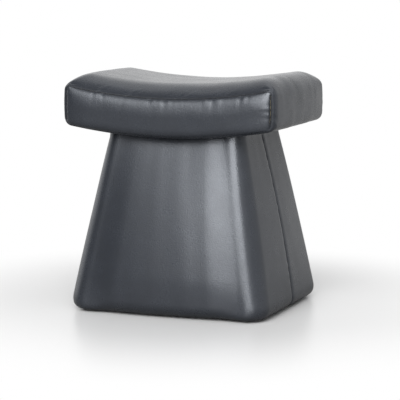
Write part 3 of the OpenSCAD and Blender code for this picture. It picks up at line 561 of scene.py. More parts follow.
def sewn_piece(name, node, grid, outward, distance, wear, thickness):
    """A closed leather piece under its outer face, marked by wear and by painted shade at its
    seams.
    """
    normals = grid_normals(grid, outward)
    piece = shell_piece(name, grid, grid - normals * thickness,
                        MATERIALS[name.split("_")[0] + "_leather"], wear=wear,
                        seam=np.exp(-distance / SEAM_MARK))
    return finish_piece(piece, [node])


def foam_piece(name, node, outer, inner, turn=1):
    """A closed foam piece between its outer and its inner face."""
    piece = shell_piece(name, turned(outer, turn), turned(inner, turn), MATERIALS["foam"])
    return finish_piece(piece, [node])


def rippled(pad, height, soft, distance):
    """The leather's soft unevenness, which ends near a seam."""
    return pad.ripple * height * soft * smooth(distance / RIPPLE_START)


def gathered(pad, height, gathers, distance, reach, start):
    """Puckers that start beside a seam and fade out within their reach of it."""
    return pad.pucker * height * gathers * np.exp(-distance / reach) * smooth(
        distance / start)


def pull_in(grid, distance, way, depth, width=0.0011):
    """Rounds the leather's edge down into a seam, by a depth that may vary along it."""
    return grid + way * (np.asarray(depth) * np.exp(-distance / width))[..., None]


# Materials

FLOAT, VECTOR = "NodeSocketFloat", "NodeSocketVector"
MATERIALS, EFFECTS = {}, {}
MOTTLE_LOW, MOTTLE_HIGH = 0.36, 0.66  # Levels of the mottling between which it shades
MOTTLE_DARK = 0.80  # The leather's darkest mottling, over its colour
GLOSS_SPREAD = 0.07  # How far the roughness goes up and down with the mottling
WORN_GLOSS, SEAM_DULL = -0.08, 0.25  # What rubbing and a seam add to the roughness
PATCH_LOW, PATCH_HIGH = 0.30, 0.72  # Levels of noise at which a rubbed patch is bare, full


class Nodes:
    """Short ways to add and join the nodes of one tree."""

    def __init__(self, tree):
        self.tree = tree

    def feed(self, node, inputs):
        """Gives a node's inputs their values, or links them where these are sockets."""
        for label, value in inputs.items():
            if isinstance(value, bpy.types.NodeSocket):
                self.tree.links.new(value, node.inputs[label])
            else:
                node.inputs[label].default_value = value

    def add(self, kind, inputs=None, **settings):
        """A new node with its settings, and with its inputs fed."""
        node = self.tree.nodes.new(kind)
        for key, value in settings.items():
            setattr(node, key, value)
        self.feed(node, inputs or {})
        return node

    def math(self, operation, *values):
        inputs = dict(enumerate(values))
        return self.add("ShaderNodeMath", inputs, operation=operation).outputs[0]

    def times(self, first, second):
        return self.math("MULTIPLY", first, second)

    def vector(self, x=0.0, y=0.0, z=0.0):
        return self.add("ShaderNodeCombineXYZ", {"X": x, "Y": y, "Z": z}).outputs[0]

    def mix(self, factor, *colours):
        """A colour between two, each a socket or a plain linear colour."""
        first, second = (colour if isinstance(colour, bpy.types.NodeSocket) else (*colour, 1)
                         for colour in colours)
        return self.add("ShaderNodeMix", {0: factor, 6: first, 7: second},
                        data_type="RGBA").outputs[2]

    def ranged(self, value, start, stop, low=0.0, high=1.0, kind="SMOOTHSTEP"):
        """Carries a value from one range to another and holds it at its ends."""
        return self.add("ShaderNodeMapRange", {
            "Value": value, "From Min": start, "From Max": stop, "To Min": low,
            "To Max": high}, interpolation_type=kind).outputs[0]

    def place(self):
        return self.add("ShaderNodeTexCoord").outputs["Object"]

    def mark(self, name):
        return self.add("ShaderNodeAttribute", attribute_name=name).outputs["Fac"]

    def mapped(self, place, **inputs):
        return self.add("ShaderNodeMapping", {"Vector": place, **inputs}).outputs[0]

    def noise(self, place, scale, detail=2.0, roughness=0.5):
        return self.add("ShaderNodeTexNoise", {
            "Vector": place, "Scale": scale, "Detail": detail,
            "Roughness": roughness}).outputs["Fac"]

    def effect(self, name, inputs):
        """Places a shader group and gives its outputs."""
        return self.add("ShaderNodeGroup", inputs, node_tree=EFFECTS[name]).outputs

    def fibres(self, place, scale, detail):
        return self.effect("fibre", {"Vector": place, "Scale": scale, "Detail": detail})

    def bump(self, shader, height, distance, strength):
        node = self.add("ShaderNodeBump", {
            "Height": height, "Distance": distance, "Strength": strength})
        self.feed(shader, {"Normal": node.outputs[0]})

    def swept(self, curve, profile):
        """A closed tube along a curve."""
        return self.add("GeometryNodeCurveToMesh", {
            "Curve": curve.outputs[0], "Profile Curve": profile.outputs[0],
            "Fill Caps": True}).outputs[0]


def new_material(name):
    """An empty material with its Principled shader, and short ways to its nodes."""
    material = bpy.data.materials.new(name)
    material.use_nodes = True
    material.node_tree.nodes.clear()
    nodes = Nodes(material.node_tree)
    shader = nodes.add("ShaderNodeBsdfPrincipled")
    nodes.add("ShaderNodeOutputMaterial", {"Surface": shader.outputs[0]})
    return material, shader, nodes


def shader_group(name, inputs, outputs):
    """An empty shader group with its sockets."""
    group = bpy.data.node_groups.new(name, "ShaderNodeTree")
    for label, kind, default in inputs:
        socket = group.interface.new_socket(label, in_out="INPUT", socket_type=kind)
        if default is not None:
            socket.default_value = default
    for label in outputs:
        group.interface.new_socket(label, in_out="OUTPUT", socket_type=FLOAT)
    nodes = Nodes(group)
    return group, nodes, nodes.add("NodeGroupInput").outputs, nodes.add("NodeGroupOutput")


def grain_group():
    """Leather's grain: pebbles, fine wrinkles and soft mottling."""
    group, nodes, given, end = shader_group(
        "Leather grain",
        [("Vector", VECTOR, None), ("Grain size", FLOAT, 0.002), ("Wrinkles", FLOAT, 0.5)],
        ["Height", "Mottle"])
    place = given["Vector"]
    scale = nodes.math("DIVIDE", 1.0, given["Grain size"])
    bend = nodes.noise(place, nodes.times(scale, 0.55), 1.0)
    warp = nodes.add("ShaderNodeVectorMath", {0: bend, 1: (0.0012, 0.0012, 0.0012), 2: place},
                     operation="MULTIPLY_ADD")
    pebbles = nodes.add("ShaderNodeTexVoronoi", {
        "Vector": warp.outputs[0], "Scale": scale, "Smoothness": 0.6}, feature="SMOOTH_F1")
    pores = nodes.math("SUBTRACT", 1.0, pebbles.outputs["Distance"])
    wrinkle = nodes.noise(nodes.mapped(place, Scale=(1, 1, 0.45)), 260, 3.0, 0.6)
    crease = nodes.math("ABSOLUTE", nodes.math("SUBTRACT", wrinkle, 0.5))
    broad, fine = nodes.noise(place, 26, 3.0, 0.6), nodes.noise(place, 240, 2.0, 0.6)
    nodes.feed(end, {
        "Height": nodes.math("ADD", pores, nodes.times(crease, given["Wrinkles"])),
        "Mottle": nodes.math("ADD", nodes.times(broad, 0.6), nodes.times(fine, 0.4))})
    return group


def wear_group():
    """Rubbed places, from a mark on the piece broken up by noise."""
    group, nodes, given, end = shader_group(
        "Rubbing", [("Vector", VECTOR, None), ("Mark", FLOAT, 0.0), ("Amount", FLOAT, 0.5),
                    ("Patch size", FLOAT, 0.02)], ["Mask"])
    scale = nodes.math("DIVIDE", 1.0, given["Patch size"])
    patches = nodes.ranged(nodes.noise(given["Vector"], scale, 4.0, 0.65), PATCH_LOW,
                           PATCH_HIGH)
    marked = nodes.times(patches, given["Mark"])
    nodes.feed(end, {"Mask": nodes.times(marked, given["Amount"])})
    return group


def fibre_group():
    """Fibres that lie along one axis: wood grain, brushed metal or cloth."""
    group, nodes, given, end = shader_group(
        "Fibres", [("Vector", VECTOR, None), ("Scale", FLOAT, 60.0), ("Detail", FLOAT, 4.0)],
        ["Fibre", "Band"])
    place, scale = given["Vector"], given["Scale"]
    bands = nodes.noise(place, nodes.times(scale, 0.12), 1.0)
    wave = nodes.math("SINE", nodes.times(bands, 60.0))
    nodes.feed(end, {"Fibre": nodes.noise(place, scale, given["Detail"], 0.62),
                     "Band": nodes.math("MULTIPLY_ADD", wave, 0.5, 0.5)})
    return group


def shaded(colour, *factors):
    """A colour made darker or paler by one factor, or by one for each channel."""
    factors = factors if len(factors) > 1 else factors * 3
    return tuple(min(c * f, 1) for c, f in zip(colour, factors))


def leather_material(name, look, rubbing, roughness):
    """Slate leather with fine grain, rubbed high places and painted shade along its seams."""
    material, shader, nodes = new_material(name)
    place, seam = nodes.place(), nodes.mark("seam")
    grain = nodes.effect("grain", {"Vector": place, "Grain size": look.grain,
                                   "Wrinkles": 0.7})
    worn = nodes.effect("wear", {"Vector": place, "Mark": nodes.mark("wear"),
                                 "Amount": rubbing, "Patch size": 0.03})["Mask"]
    mottle = nodes.ranged(grain["Mottle"], MOTTLE_LOW, MOTTLE_HIGH)
    base = nodes.mix(mottle, shaded(look.leather, MOTTLE_DARK), look.leather)
    rubbed = nodes.mix(worn, base, look.leather_worn)
    rough = nodes.ranged(grain["Mottle"], 0, 1, roughness + GLOSS_SPREAD,
                         roughness - GLOSS_SPREAD, "LINEAR")
    polished = nodes.math("MULTIPLY_ADD", worn, WORN_GLOSS, rough)
    # The darker leather along each seam is painted shade in its groove
    nodes.feed(shader, {
        "Base Color": nodes.mix(seam, rubbed, look.leather_deep),
        "Roughness": nodes.math("MULTIPLY_ADD", seam, SEAM_DULL, polished),
        "Sheen Weight": 0.04, "Sheen Roughness": 0.4,
        "Specular IOR Level": 0.80, "Specular Tint": (0.90, 0.94, 1.0, 1)})
    nodes.bump(shader, grain["Height"], 0.00016, 0.85)
    return material


def foam_material(look):
    """Pale foam with small open cells."""
    material, shader, nodes = new_material("foam")
    place = nodes.place()
    cells = nodes.add("ShaderNodeTexVoronoi", {"Vector": place, "Scale": 900})
    tone = nodes.noise(place, 40, 4.0, 0.6)
    nodes.feed(shader, {"Base Color": nodes.mix(tone, shaded(look.foam, 0.82), look.foam),
                        "Roughness": 0.92})
    nodes.bump(shader, cells.outputs["Distance"], 0.0006, 0.8)
    return material


def cloth_material(look):
    """Black non-woven cloth with fibres both ways and tiny pressed points."""
    material, shader, nodes = new_material("dust_cloth")
    place = nodes.place()
    ways = [nodes.fibres(nodes.mapped(place, Scale=stretch, Rotation=(0, 0, 0.4)), 900.0,
                         3.0)["Fibre"] for stretch in ((1, 0.12, 1), (0.12, 1, 1))]
    fibres = nodes.math("ADD", *ways)
    points = nodes.add("ShaderNodeTexVoronoi", {
        "Vector": place, "Scale": 620, "Randomness": 0.15}).outputs["Distance"]
    pressed = nodes.math("MINIMUM", points, 0.4)
    nodes.feed(shader, {
        "Base Color": nodes.mix(nodes.times(fibres, 0.5), look.cloth, shaded(look.cloth, 2.6)),
        "Roughness": 0.85})
    nodes.bump(shader, nodes.math("ADD", fibres, pressed), 0.0002, 0.7)
    return material


def wood_material(name, tint, along, scale):
    """Wood whose fibres run along one axis, 0 for X, 1 for Y and 2 for Z."""
    material, shader, nodes = new_material(name)
    drawn = nodes.mapped(nodes.place(), Scale=[0.06 if k == along else 1 for k in range(3)])
    grain = nodes.fibres(drawn, scale, 6.0)
    rings = nodes.mix(grain["Band"], shaded(tint, 1.12), tint)
    strength = nodes.times(grain["Fibre"], 0.55)
    nodes.feed(shader, {
        "Base Color": nodes.mix(strength, rings, shaded(tint, 0.62, 0.55, 0.45)),
        "Roughness": nodes.ranged(grain["Fibre"], 0, 1, 0.5, 0.75, "LINEAR")})
    nodes.bump(shader, grain["Fibre"], 0.0003, 0.5)
    return material


def streaked_material(name, colours, streak, roughness, height, tone_scale=None,
                      **constants):
    """Fine streaks; the colours mix along them, or by noise of the tone's scale.

    A streak is given by its scale and detail, the roughness by its lowest and highest
    value, and the height by the bump's distance and strength.
    """
    material, shader, nodes = new_material(name)
    place = nodes.place()
    streaks = nodes.fibres(place, *streak)["Fibre"]
    tone = nodes.noise(place, tone_scale) if tone_scale else streaks
    nodes.feed(shader, {"Base Color": nodes.mix(tone, *colours), **constants})
    if roughness:
        rough = nodes.ranged(streaks, 0, 1, *roughness, "LINEAR")
        nodes.feed(shader, {"Roughness": rough})
    nodes.bump(shader, streaks, *height)
    return material


# Repeated fittings, made by geometry nodes

def geometry_tree(name, inputs):
    """An empty geometry tree with its sockets."""
    tree = bpy.data.node_groups.new(name, "GeometryNodeTree")
    tree.interface.new_socket("Geometry", in_out="INPUT", socket_type="NodeSocketGeometry")
    for label, kind in inputs.items():
        tree.interface.new_socket(label, in_out="INPUT", socket_type="NodeSocket" + kind)
    tree.interface.new_socket("Geometry", in_out="OUTPUT", socket_type="NodeSocketGeometry")
    nodes = Nodes(tree)
    return tree, nodes, nodes.add("NodeGroupInput").outputs, nodes.add("NodeGroupOutput")


def along_path(nodes, given, end, instance, spin=0.0):
    """Sets copies of a shape along the path, across it and facing out, in their material."""
    curve = nodes.add("GeometryNodeMeshToCurve", {"Mesh": given["Geometry"]})
    even = nodes.add("GeometryNodeResampleCurve", {
        "Curve": curve.outputs[0], "Length": given["Pitch"]}, mode="LENGTH")
    rotation = None
    for axis, label in (("X", "across"), ("Z", "out")):
        named = nodes.add("GeometryNodeInputNamedAttribute", {"Name": label},
                          data_type="FLOAT_VECTOR")
        align = nodes.add("FunctionNodeAlignRotationToVector", {
            "Vector": named.outputs["Attribute"]}, axis=axis)
        if rotation:
            align.pivot_axis = "X"
            nodes.feed(align, {"Rotation": rotation})
        rotation = align.outputs[0]
    if spin:
        random = nodes.add("FunctionNodeRandomValue", {2: -spin, 3: spin, "Seed": given["Seed"]},
                           data_type="FLOAT")
        euler = nodes.add("FunctionNodeEulerToRotation", {
            0: nodes.vector(z=random.outputs[1])})
        rotation = nodes.add("FunctionNodeRotateRotation", {
            "Rotation": rotation, "Rotate By": euler.outputs[0]},
            rotation_space="LOCAL").outputs[0]
    copies = nodes.add("GeometryNodeInstanceOnPoints", {
        "Points": even.outputs[0], "Instance": instance, "Rotation": rotation})
    real = nodes.add("GeometryNodeRealizeInstances", {0: copies.outputs[0]})
    painted = nodes.add("GeometryNodeSetMaterial", {
        "Geometry": real.outputs[0], "Material": given["Material"]})
    nodes.feed(end, {0: painted.outputs[0]})


def bow_curve(nodes, *points):
    """A bow from a start by way of a middle to an end."""
    places = dict(zip(("Start", "Middle", "End"), points))
    return nodes.add("GeometryNodeCurveQuadraticBezier", {"Resolution": 5, **places})


def stitch_tree():
    """A row of short threads that cross a seam."""
    tree, nodes, given, end = geometry_tree("Seam stitches", {
        "Pitch": "Float", "Length": "Float", "Thread radius": "Float",
        "Material": "Material"})
    half = nodes.times(given["Length"], 0.5)
    top = nodes.times(given["Thread radius"], 2.2)
    bow = bow_curve(nodes, nodes.vector(x=nodes.times(half, -1.0)), nodes.vector(z=top),
                    nodes.vector(x=half))
    ring = nodes.add("GeometryNodeCurvePrimitiveCircle", {
        "Resolution": 6, "Radius": given["Thread radius"]})
    along_path(nodes, given, end, nodes.swept(bow, ring))
    return tree


def staple_tree():
    """Staples set along a path, each a little out of line."""
    tree, nodes, given, end = geometry_tree("Cloth staples", {
        "Pitch": "Float", "Width": "Float", "Wire": "Float", "Seed": "Int",
        "Material": "Material"})
    wire = given["Wire"]
    half, thin = nodes.times(given["Width"], 0.5), nodes.times(wire, 0.5)
    inner, down = nodes.math("SUBTRACT", half, wire), nodes.times(wire, -1.2)
    profile = nodes.add("GeometryNodeCurvePrimitiveQuadrilateral", {
        "Width": wire, "Height": thin})
    soft = nodes.add("GeometryNodeFilletCurve", {
        "Curve": profile.outputs[0], "Count": 2, "Radius": nodes.times(thin, 0.4)},
        mode="POLY")
    joined = nodes.add("GeometryNodeJoinGeometry")
    for sign in (-1.0, 1.0):
        side, near = nodes.times(half, sign), nodes.times(inner, sign)
        bow = bow_curve(nodes, nodes.vector(x=near, z=thin), nodes.vector(x=side, z=thin),
                        nodes.vector(x=side, z=down))
        nodes.feed(joined, {0: nodes.swept(bow, soft)})
    crown = nodes.add("GeometryNodeCurvePrimitiveLine", {
        "Start": nodes.vector(x=nodes.times(inner, -1.0), z=thin),
        "End": nodes.vector(x=inner, z=thin)})
    nodes.feed(joined, {0: nodes.swept(crown, soft)})
    along_path(nodes, given, end, joined.outputs[0], STAPLE_SPIN)
    return tree


def repeated_piece(name, tree, paths, inputs):
    """Runs a tree along paths, each of points, across and out vectors, and bakes it."""
    points, across, out = (np.concatenate(part).astype(np.float32) for part in zip(*paths))
    edges, first = [], 0
    for path, *_ in paths:
        edges += [(first + k, first + k + 1) for k in range(len(path) - 1)]
        first += len(path)
    mesh = bpy.data.meshes.new(name)
    mesh.from_pydata(points.tolist(), edges, [])
    for label, values in (("across", across), ("out", out)):
        mesh.attributes.new(label, "FLOAT_VECTOR", "POINT").data.foreach_set(
            "vector", values.ravel())
    piece = bpy.data.objects.new(name, mesh)
    bpy.context.scene.collection.objects.link(piece)
    modifier = piece.modifiers.new("rows", "NODES")
    modifier.node_group = tree
    for item in tree.interface.items_tree:
        if item.in_out == "INPUT" and item.name in inputs:
            modifier[item.identifier] = inputs[item.name]
    graph = bpy.context.evaluated_depsgraph_get()
    made = bpy.data.meshes.new_from_object(piece.evaluated_get(graph))
    piece.modifiers.clear()
    piece.data = made
    made.shade_smooth()
    if not len(made.polygons):
        raise RuntimeError(f"{name} came out empty")
    return finish_piece(piece, [])


# Cloths and their staples

HOLE_POINTS = 24  # Points round each hole of a cloth
OUTLINE_STEP = 0.008  # Longest edge of a cloth's outline
CLOTH_MERGE = 1e-7  # Points closer than this are one
HOLE_EDGE = 0.98  # A face whose middle lies inside this part of a hole's radius goes
STAPLE_SPIN = 0.16  # Largest turn of a staple out of line, in radians


def cloth_piece(name, outline, holes, height, spacing, thickness):
    """A thin sheet inside an outline, with round holes, at the height given by a function."""
    xs, ys = (np.arange(low + spacing / 2, high, spacing)
              for low, high in zip(outline.min(0), outline.max(0)))
    inner = np.stack(np.meshgrid(xs, ys), -1).reshape(-1, 2)
    angles = np.linspace(0, 2 * math.pi, HOLE_POINTS + 1)[:-1]
    loops = [outline, *(round_points(*centre, radius, angles) for centre, radius in holes)]
    edge = np.min(np.linalg.norm(inner[:, None] - np.concatenate(loops)[None], axis=-1), axis=1)
    keep = within(inner, outline, holes, 1) & (edge > spacing * 0.5)
    points, edges = [], []
    for loop in loops:
        first, count = len(points), len(loop)
        points += loop.tolist()
        edges += [(first + k, first + (k + 1) % count) for k in range(count)]
    points += inner[keep].tolist()
    verts, _, faces, *_ = delaunay_2d_cdt([Vector(p) for p in points], edges, [], 0,
                                          CLOTH_MERGE)
    flat = np.array([v[:] for v in verts])
    faces = np.array([f for f in faces if len(f) == 3])
    good = within(flat[faces].mean(1), outline, holes, HOLE_EDGE)
    solid = np.insert(flat, 2, height(flat[:, 0], flat[:, 1]), axis=1)
    piece = mesh_piece(name, solid, faces[good][:, ::-1], MATERIALS["cloth"])
    wall = piece.modifiers.new("thickness", "SOLIDIFY")
    wall.thickness, wall.offset = thickness, -1
    return piece


def within(points, outline, holes, part):
    """Which points lie in an outline and outside this part of its holes' radii."""
    found = np.zeros(len(points), bool)
    for (ax, ay), (bx, by) in zip(outline, np.roll(outline, -1, 0)):
        crosses = (ay > points[:, 1]) != (by > points[:, 1])
        with np.errstate(divide="ignore", invalid="ignore"):
            x = ax + (points[:, 1] - ay) * (bx - ax) / (by - ay)
        found ^= crosses & (points[:, 0] < x)
    for centre, radius in holes:
        found &= np.linalg.norm(points - centre, axis=1) > radius * part
    return found


def corner_holes(x, y, radius):
    """Centres and radius of four holes, one in each quarter."""
    return [((sx * x, sy * y), radius) for sx in (-1, 1) for sy in (-1, 1)]


def rounded_outline(a, b, r, count=8):
    """Outline of a rectangle with half sides a and b and round corners."""
    corners = np.concatenate([
        round_points(sx * (a - r), sy * (b - r), r,
                     (start + np.linspace(0, 1, count)) * math.pi / 2)
        for start, (sx, sy) in enumerate(((1, 1), (-1, 1), (-1, -1), (1, -1)))])
    fine = []
    for p, q in zip(corners, np.roll(corners, -1, 0)):
        steps = max(int(np.linalg.norm(q - p) / OUTLINE_STEP), 1)
        fine += [p + (q - p) * k / steps for k in range(steps)]
    return np.array(fine)


def staple_path(outline, inset, height):
    """A closed path for staples inside an outline, with its directions."""
    centre = outline.mean(0)
    away = outline - centre
    flat = centre + away * (1 - inset / np.abs(away).max(1, keepdims=True))
    flat = np.concatenate([flat, flat[:1]])
    along = unit(np.insert(np.gradient(flat, axis=0), 2, 0, axis=1))
    path = np.insert(flat, 2, height(flat[:, 0], flat[:, 1]), axis=1)
    return path, along, np.broadcast_to([0.0, 0.0, -1.0], path.shape)


# Operators, one for each group of pieces

FINISHES = {
    "timber_y": ["seat_left_rail", "seat_right_rail", "seat_left_cross_rail",
                 "seat_right_cross_rail", "base_left_top_rail", "base_right_top_rail",
                 "base_left_foot_rail", "base_right_foot_rail"],
    "timber_x": ["seat_corner_blocks", "base_front_foot_rail", "base_back_foot_rail"],
    "timber_z": ["base_front_left_post", "base_front_right_post", "base_back_left_post",
                 "base_back_right_post"],
    "plywood_x": ["seat_front_rail", "seat_back_rail", "seat_deck"],
    "plywood_z": ["base_front_panel", "base_back_panel", "base_left_panel",
                  "base_right_panel"],
    "steel": ["joining_bolts", "bolt_washers", "tee_nuts", "deck_screws", "frame_screws",
              "panel_screws", "glide_nails"],
    "glide": ["floor_glides"]}
LEATHER_STEPS = 0.0005, 0.0034  # Finest and widest step between the leather's points
FOAM_STEPS = 0.002, 0.009  # The same for the slab
HEM_ROWS, FACE_STEPS = 12, (0.005, 0.028)  # Rows turned under; steps of a face's height
WALL_COUNTS, WALL_ROWS, ROLL_ROWS = (17, 92), 86, 16  # Leather's points and rows
PAD_COUNTS, PAD_ROWS = (13, 40), 40  # The same for the pedestal's foam
LEAN, ACROSS = 0.87, 0.5  # A seat seam's lean, out of the top or end and across the seam
# Angle round the corner, depth and width of each fold at the foot
FOOT_FOLDS = ((0.0, 0.0011, 0.11), (-0.36, 0.00055, 0.07), (0.33, 0.0006, 0.08))
FOLD_TOP, FOLD_RUN = 0.034, 0.022  # Height where they end, and the run to their depth
UPPER_START, UPPER_RUN = 0.36, 0.03  # Height where an end's upper part starts, its run
END_START, END_RUN = 0.15, 0.05  # Where the rubbed ends start, and the run to them
# A dip at each corner: its depth, its place from the long seam and width there, and the
# same from the panel's end
DIP_DEPTH, DIP_EDGE, DIP_EDGE_WIDTH, DIP_IN, DIP_WIDTH = 0.0011, 0.006, 0.0022, 0.009, 0.01
ROUND_RUN = 0.014  # Over this length a seam's edge gets rounder towards the corner
SEAM_START = 0.0008  # Share of a side at which the leather's half starts at its seam
THIN_FOAM = 0.0002  # The least foam between a pad's two faces


class STOOL_OT_finishes(bpy.types.Operator):
    """Make every material, and give the timber and metal their finishes"""

    bl_idname = "stool.finishes"
    bl_label = "Finishes"

    def execute(self, context):
        look = context.scene.stool_look
        EFFECTS.update(grain=grain_group(), wear=wear_group(), fibre=fibre_group())
        MATERIALS.update(
            seat_leather=leather_material("seat_leather", look, 0.55, look.roughness),
            pedestal_leather=leather_material("pedestal_leather", look, 0.40,
                                              look.roughness + 0.01),
            foam=foam_material(look), cloth=cloth_material(look),
            steel=streaked_material("zinc_steel", (shaded(look.steel, 0.72), look.steel),
                                    (700, 3), (0.28, 0.48), (0.00005, 0.6), 120, Metallic=1.0),
            glide=streaked_material("glide", (look.glide, shaded(look.glide, 2.4)),
                                    (500, 5), (0.42, 0.66), (0.00008, 0.5)),
            thread=streaked_material("thread", (look.thread, shaded(look.thread, 1.9)),
                                     (2600, 2), None, (0.0001, 0.8), Roughness=0.55))
        for axis, way in enumerate("xyz"):
            for wood, tint, scale in (("timber", look.timber, 150),
                                      ("plywood", look.plywood, 110)):
                name = f"{wood}_{way}"
                MATERIALS[name] = wood_material(name, tint, axis, scale)
        for finish, names in FINISHES.items():
            for name in names:
                mesh = NODES[name].data
                mesh.materials.clear()
                mesh.materials.append(MATERIALS[finish])
        return {"FINISHED"}


class STOOL_OT_seat_leather(bpy.types.Operator):
    """Sew the seat's leather: the strip over the top and ends, and the two panels"""

    bl_idname = "stool.seat_leather"
    bl_label = "Seat leather"

    def execute(self, context):
        form = SeatForm(context.scene)
        self.strip(form)
        for side, turn in SIDES:
            self.panel(form, side, turn)
        return {"FINISHED"}

    def strip(self, form):
        pad = form.pad
        places = spaced(2 * form.seam_y, *LEATHER_STEPS) - form.seam_y
        grid = np.array([form.strip_row(y, 0, form.reach(y)) for y in places])
        x, y, z = np.moveaxis(grid, -1, 0)
        middle = [0, 0, form.size.mid_height - form.size.thickness / 2]
        normals = grid_normals(grid, grid - middle)
        edge, past = form.seam_y - np.abs(y), np.abs(x) - form.panel_half
        along = np.cumsum(np.linalg.norm(np.gradient(grid, axis=1), axis=-1), axis=1)
        upper = smooth((z - UPPER_START) / UPPER_RUN)
        # Broad unevenness, and puckers that come and go along the seams
        soft = waves(3, 0.11, x, y * 1.4, z) * 0.7 + waves(4, 0.045, x, y * 1.3, z) * 0.22
        gathers = waves(5, 0.013, along, y * 0.15) * smooth(0.5 + waves(6, 0.09, along))
        lift = rippled(pad, 1, soft, edge) + gathered(pad, 1, gathers, edge, 0.009, 0.003)
        dip = bell(edge, DIP_EDGE, DIP_EDGE_WIDTH) * bell(past, -DIP_IN, DIP_WIDTH)
        lift -= DIP_DEPTH * dip * upper
        grid = grid + normals * lift[..., None]
        inward = -LEAN * unit(normals * [1, 0, 1])
        inward[..., 1] = -ACROSS * np.sign(y)
        upright = smooth(1 + past / ROUND_RUN)
        grid = pull_in(grid, edge, inward, 0.0003 + 0.0017 * upright)
        end = smooth((np.abs(x) - END_START) / END_RUN)
        wear = np.clip(0.35 + 0.65 * end * upper, 0, 1) * smooth(edge / 0.01)
        piece = sewn_piece("seat_strip_leather", "seat_cover_top", grid, normals, edge, wear,
                           pad.leather)

    def panel(self, form, side, turn):
        pad, rows = form.pad, []
        x = spaced(2 * form.panel_half, *LEATHER_STEPS) - form.panel_half
        low, top = form.panel_edges(x)
        reach = np.clip(form.seam_x - np.abs(x) - pad.gap, pad.leather, form.size.hem)
        # Rows of the hem turned under the seat, then rows of the face
        for part in np.linspace(1, 0.03, HEM_ROWS):
            y = form.seam_y - part * reach
            rows.append(np.stack([x, -y, form.low_height(form.section(y, 0), x)], -1))
        under = len(rows)
        for part in spaced(1.0, *FACE_STEPS):
            z = low + (top - low) * part
            rows.append(np.stack([x, -form.panel_y(x, z), z], -1))
        grid = np.array(rows)
        x, y, z = np.moveaxis(grid, -1, 0)
        normals = grid_normals(grid, [0, -1, 0])
        above, beside = top - z, form.panel_half - np.abs(x)
        edge = np.minimum(above, beside)
        on_face = np.repeat([0.0, 1.0], [under, len(rows) - under])[:, None]
        seed = 20 if turn > 0 else 40
        soft = waves(seed, 0.10, x, z * 1.4) * 0.4 + waves(seed + 1, 0.04, x, z) * 0.08
        gathers = waves(seed + 2, 0.0115, x, z * 0.12) * smooth(
            0.5 + waves(seed + 3, 0.08, x) * 1.2)
        ends = waves(seed + 4, 0.012, z, x * 0.1)
        lift = (rippled(pad, 1.3, soft, edge)
                + gathered(pad, 1.3, gathers, above, 0.010, 0.002)
                + gathered(pad, 1, ends, beside, 0.007, 0.002))
        grid = grid + normals * (lift * on_face)[..., None]
        at_top = above < beside
        inward = np.stack([np.where(at_top, 0, -LEAN * np.sign(x)), np.full(x.shape, ACROSS),
                           np.where(at_top, -LEAN, 0)], -1)
        pulled = np.where(on_face > 0, edge, 1.0)
        upright = smooth((above - beside) / 0.004)
        grid = pull_in(grid, pulled, inward, 0.0006 + 0.0014 * upright)
        wear = smooth(1 - above / 0.03) * 0.7 * on_face + 0.1
        piece = sewn_piece(f"seat_{side}_leather", f"seat_cover_{side}", turned(grid, turn),
                           turned(normals, turn), pulled, wear, pad.leather)


class STOOL_OT_seat_foam(bpy.types.Operator):
    """Lay the seat's foam: the slab, the front and back pads and the end pads"""

    bl_idname = "stool.seat_foam"
    bl_label = "Seat foam"

    def execute(self, context):
        form = SeatForm(context.scene)
        half, under = form.seam_y - form.skin, form.skin + 2 * form.pad.gap
        places = spaced(2 * half, *FOAM_STEPS) - half
        top = np.array([form.slab_row(y, under) for y in places])
        bottom = top.copy()
        bottom[..., 2] = form.arc(form.slab_radius, top[..., 0])
        slab = foam_piece("seat_foam_slab", "seat_foam", top, bottom)
        for pads, make in ((SIDES, self.face_pad), (ENDS, self.end_pad)):
            for side, turn in pads:
                piece = foam_piece(f"seat_{side}_foam", f"seat_{side}_pad", *make(form), turn)
        return {"FINISHED"}

    def face_pad(self, form):
        """Outer and inner face of the front pad."""
        x = np.linspace(-1, 1, 64) * (form.panel_half - 0.002)
        low, top = form.low_height(form.seam, x), form.top_height(form.seam, x)
        heights = [low + (top - low) * part for part in np.linspace(0.05, 0.84, 20)]
        outer = np.array([np.stack([x, -form.panel_y(x, z, form.skin), z], -1)
                          for z in heights])
        inner = outer.copy()
        inner[..., 1] = -form.frame_y - form.pad.gap
        return outer, inner

    def end_pad(self, form):
        """Outer and inner face of the right pad."""
        gap, rows = form.pad.gap, []
        for y in np.linspace(-1, 1, 40) * (form.frame_y - gap):
            s = form.section(y, form.skin)
            low = form.corners(s)[1][1]
            z = np.linspace(low, form.arc(form.slab_radius + gap, s.half), 14)
            rows.append(np.stack([form.end_x(s, z), np.full(14, y), z], -1))
        outer = np.array(rows)
        inner = outer.copy()
        inner[..., 0] = form.frame_x + gap
        inner[..., 2] = np.minimum(inner[..., 2],
                                   form.arc(form.slab_radius + gap, inner[..., 0]))
        return outer, inner


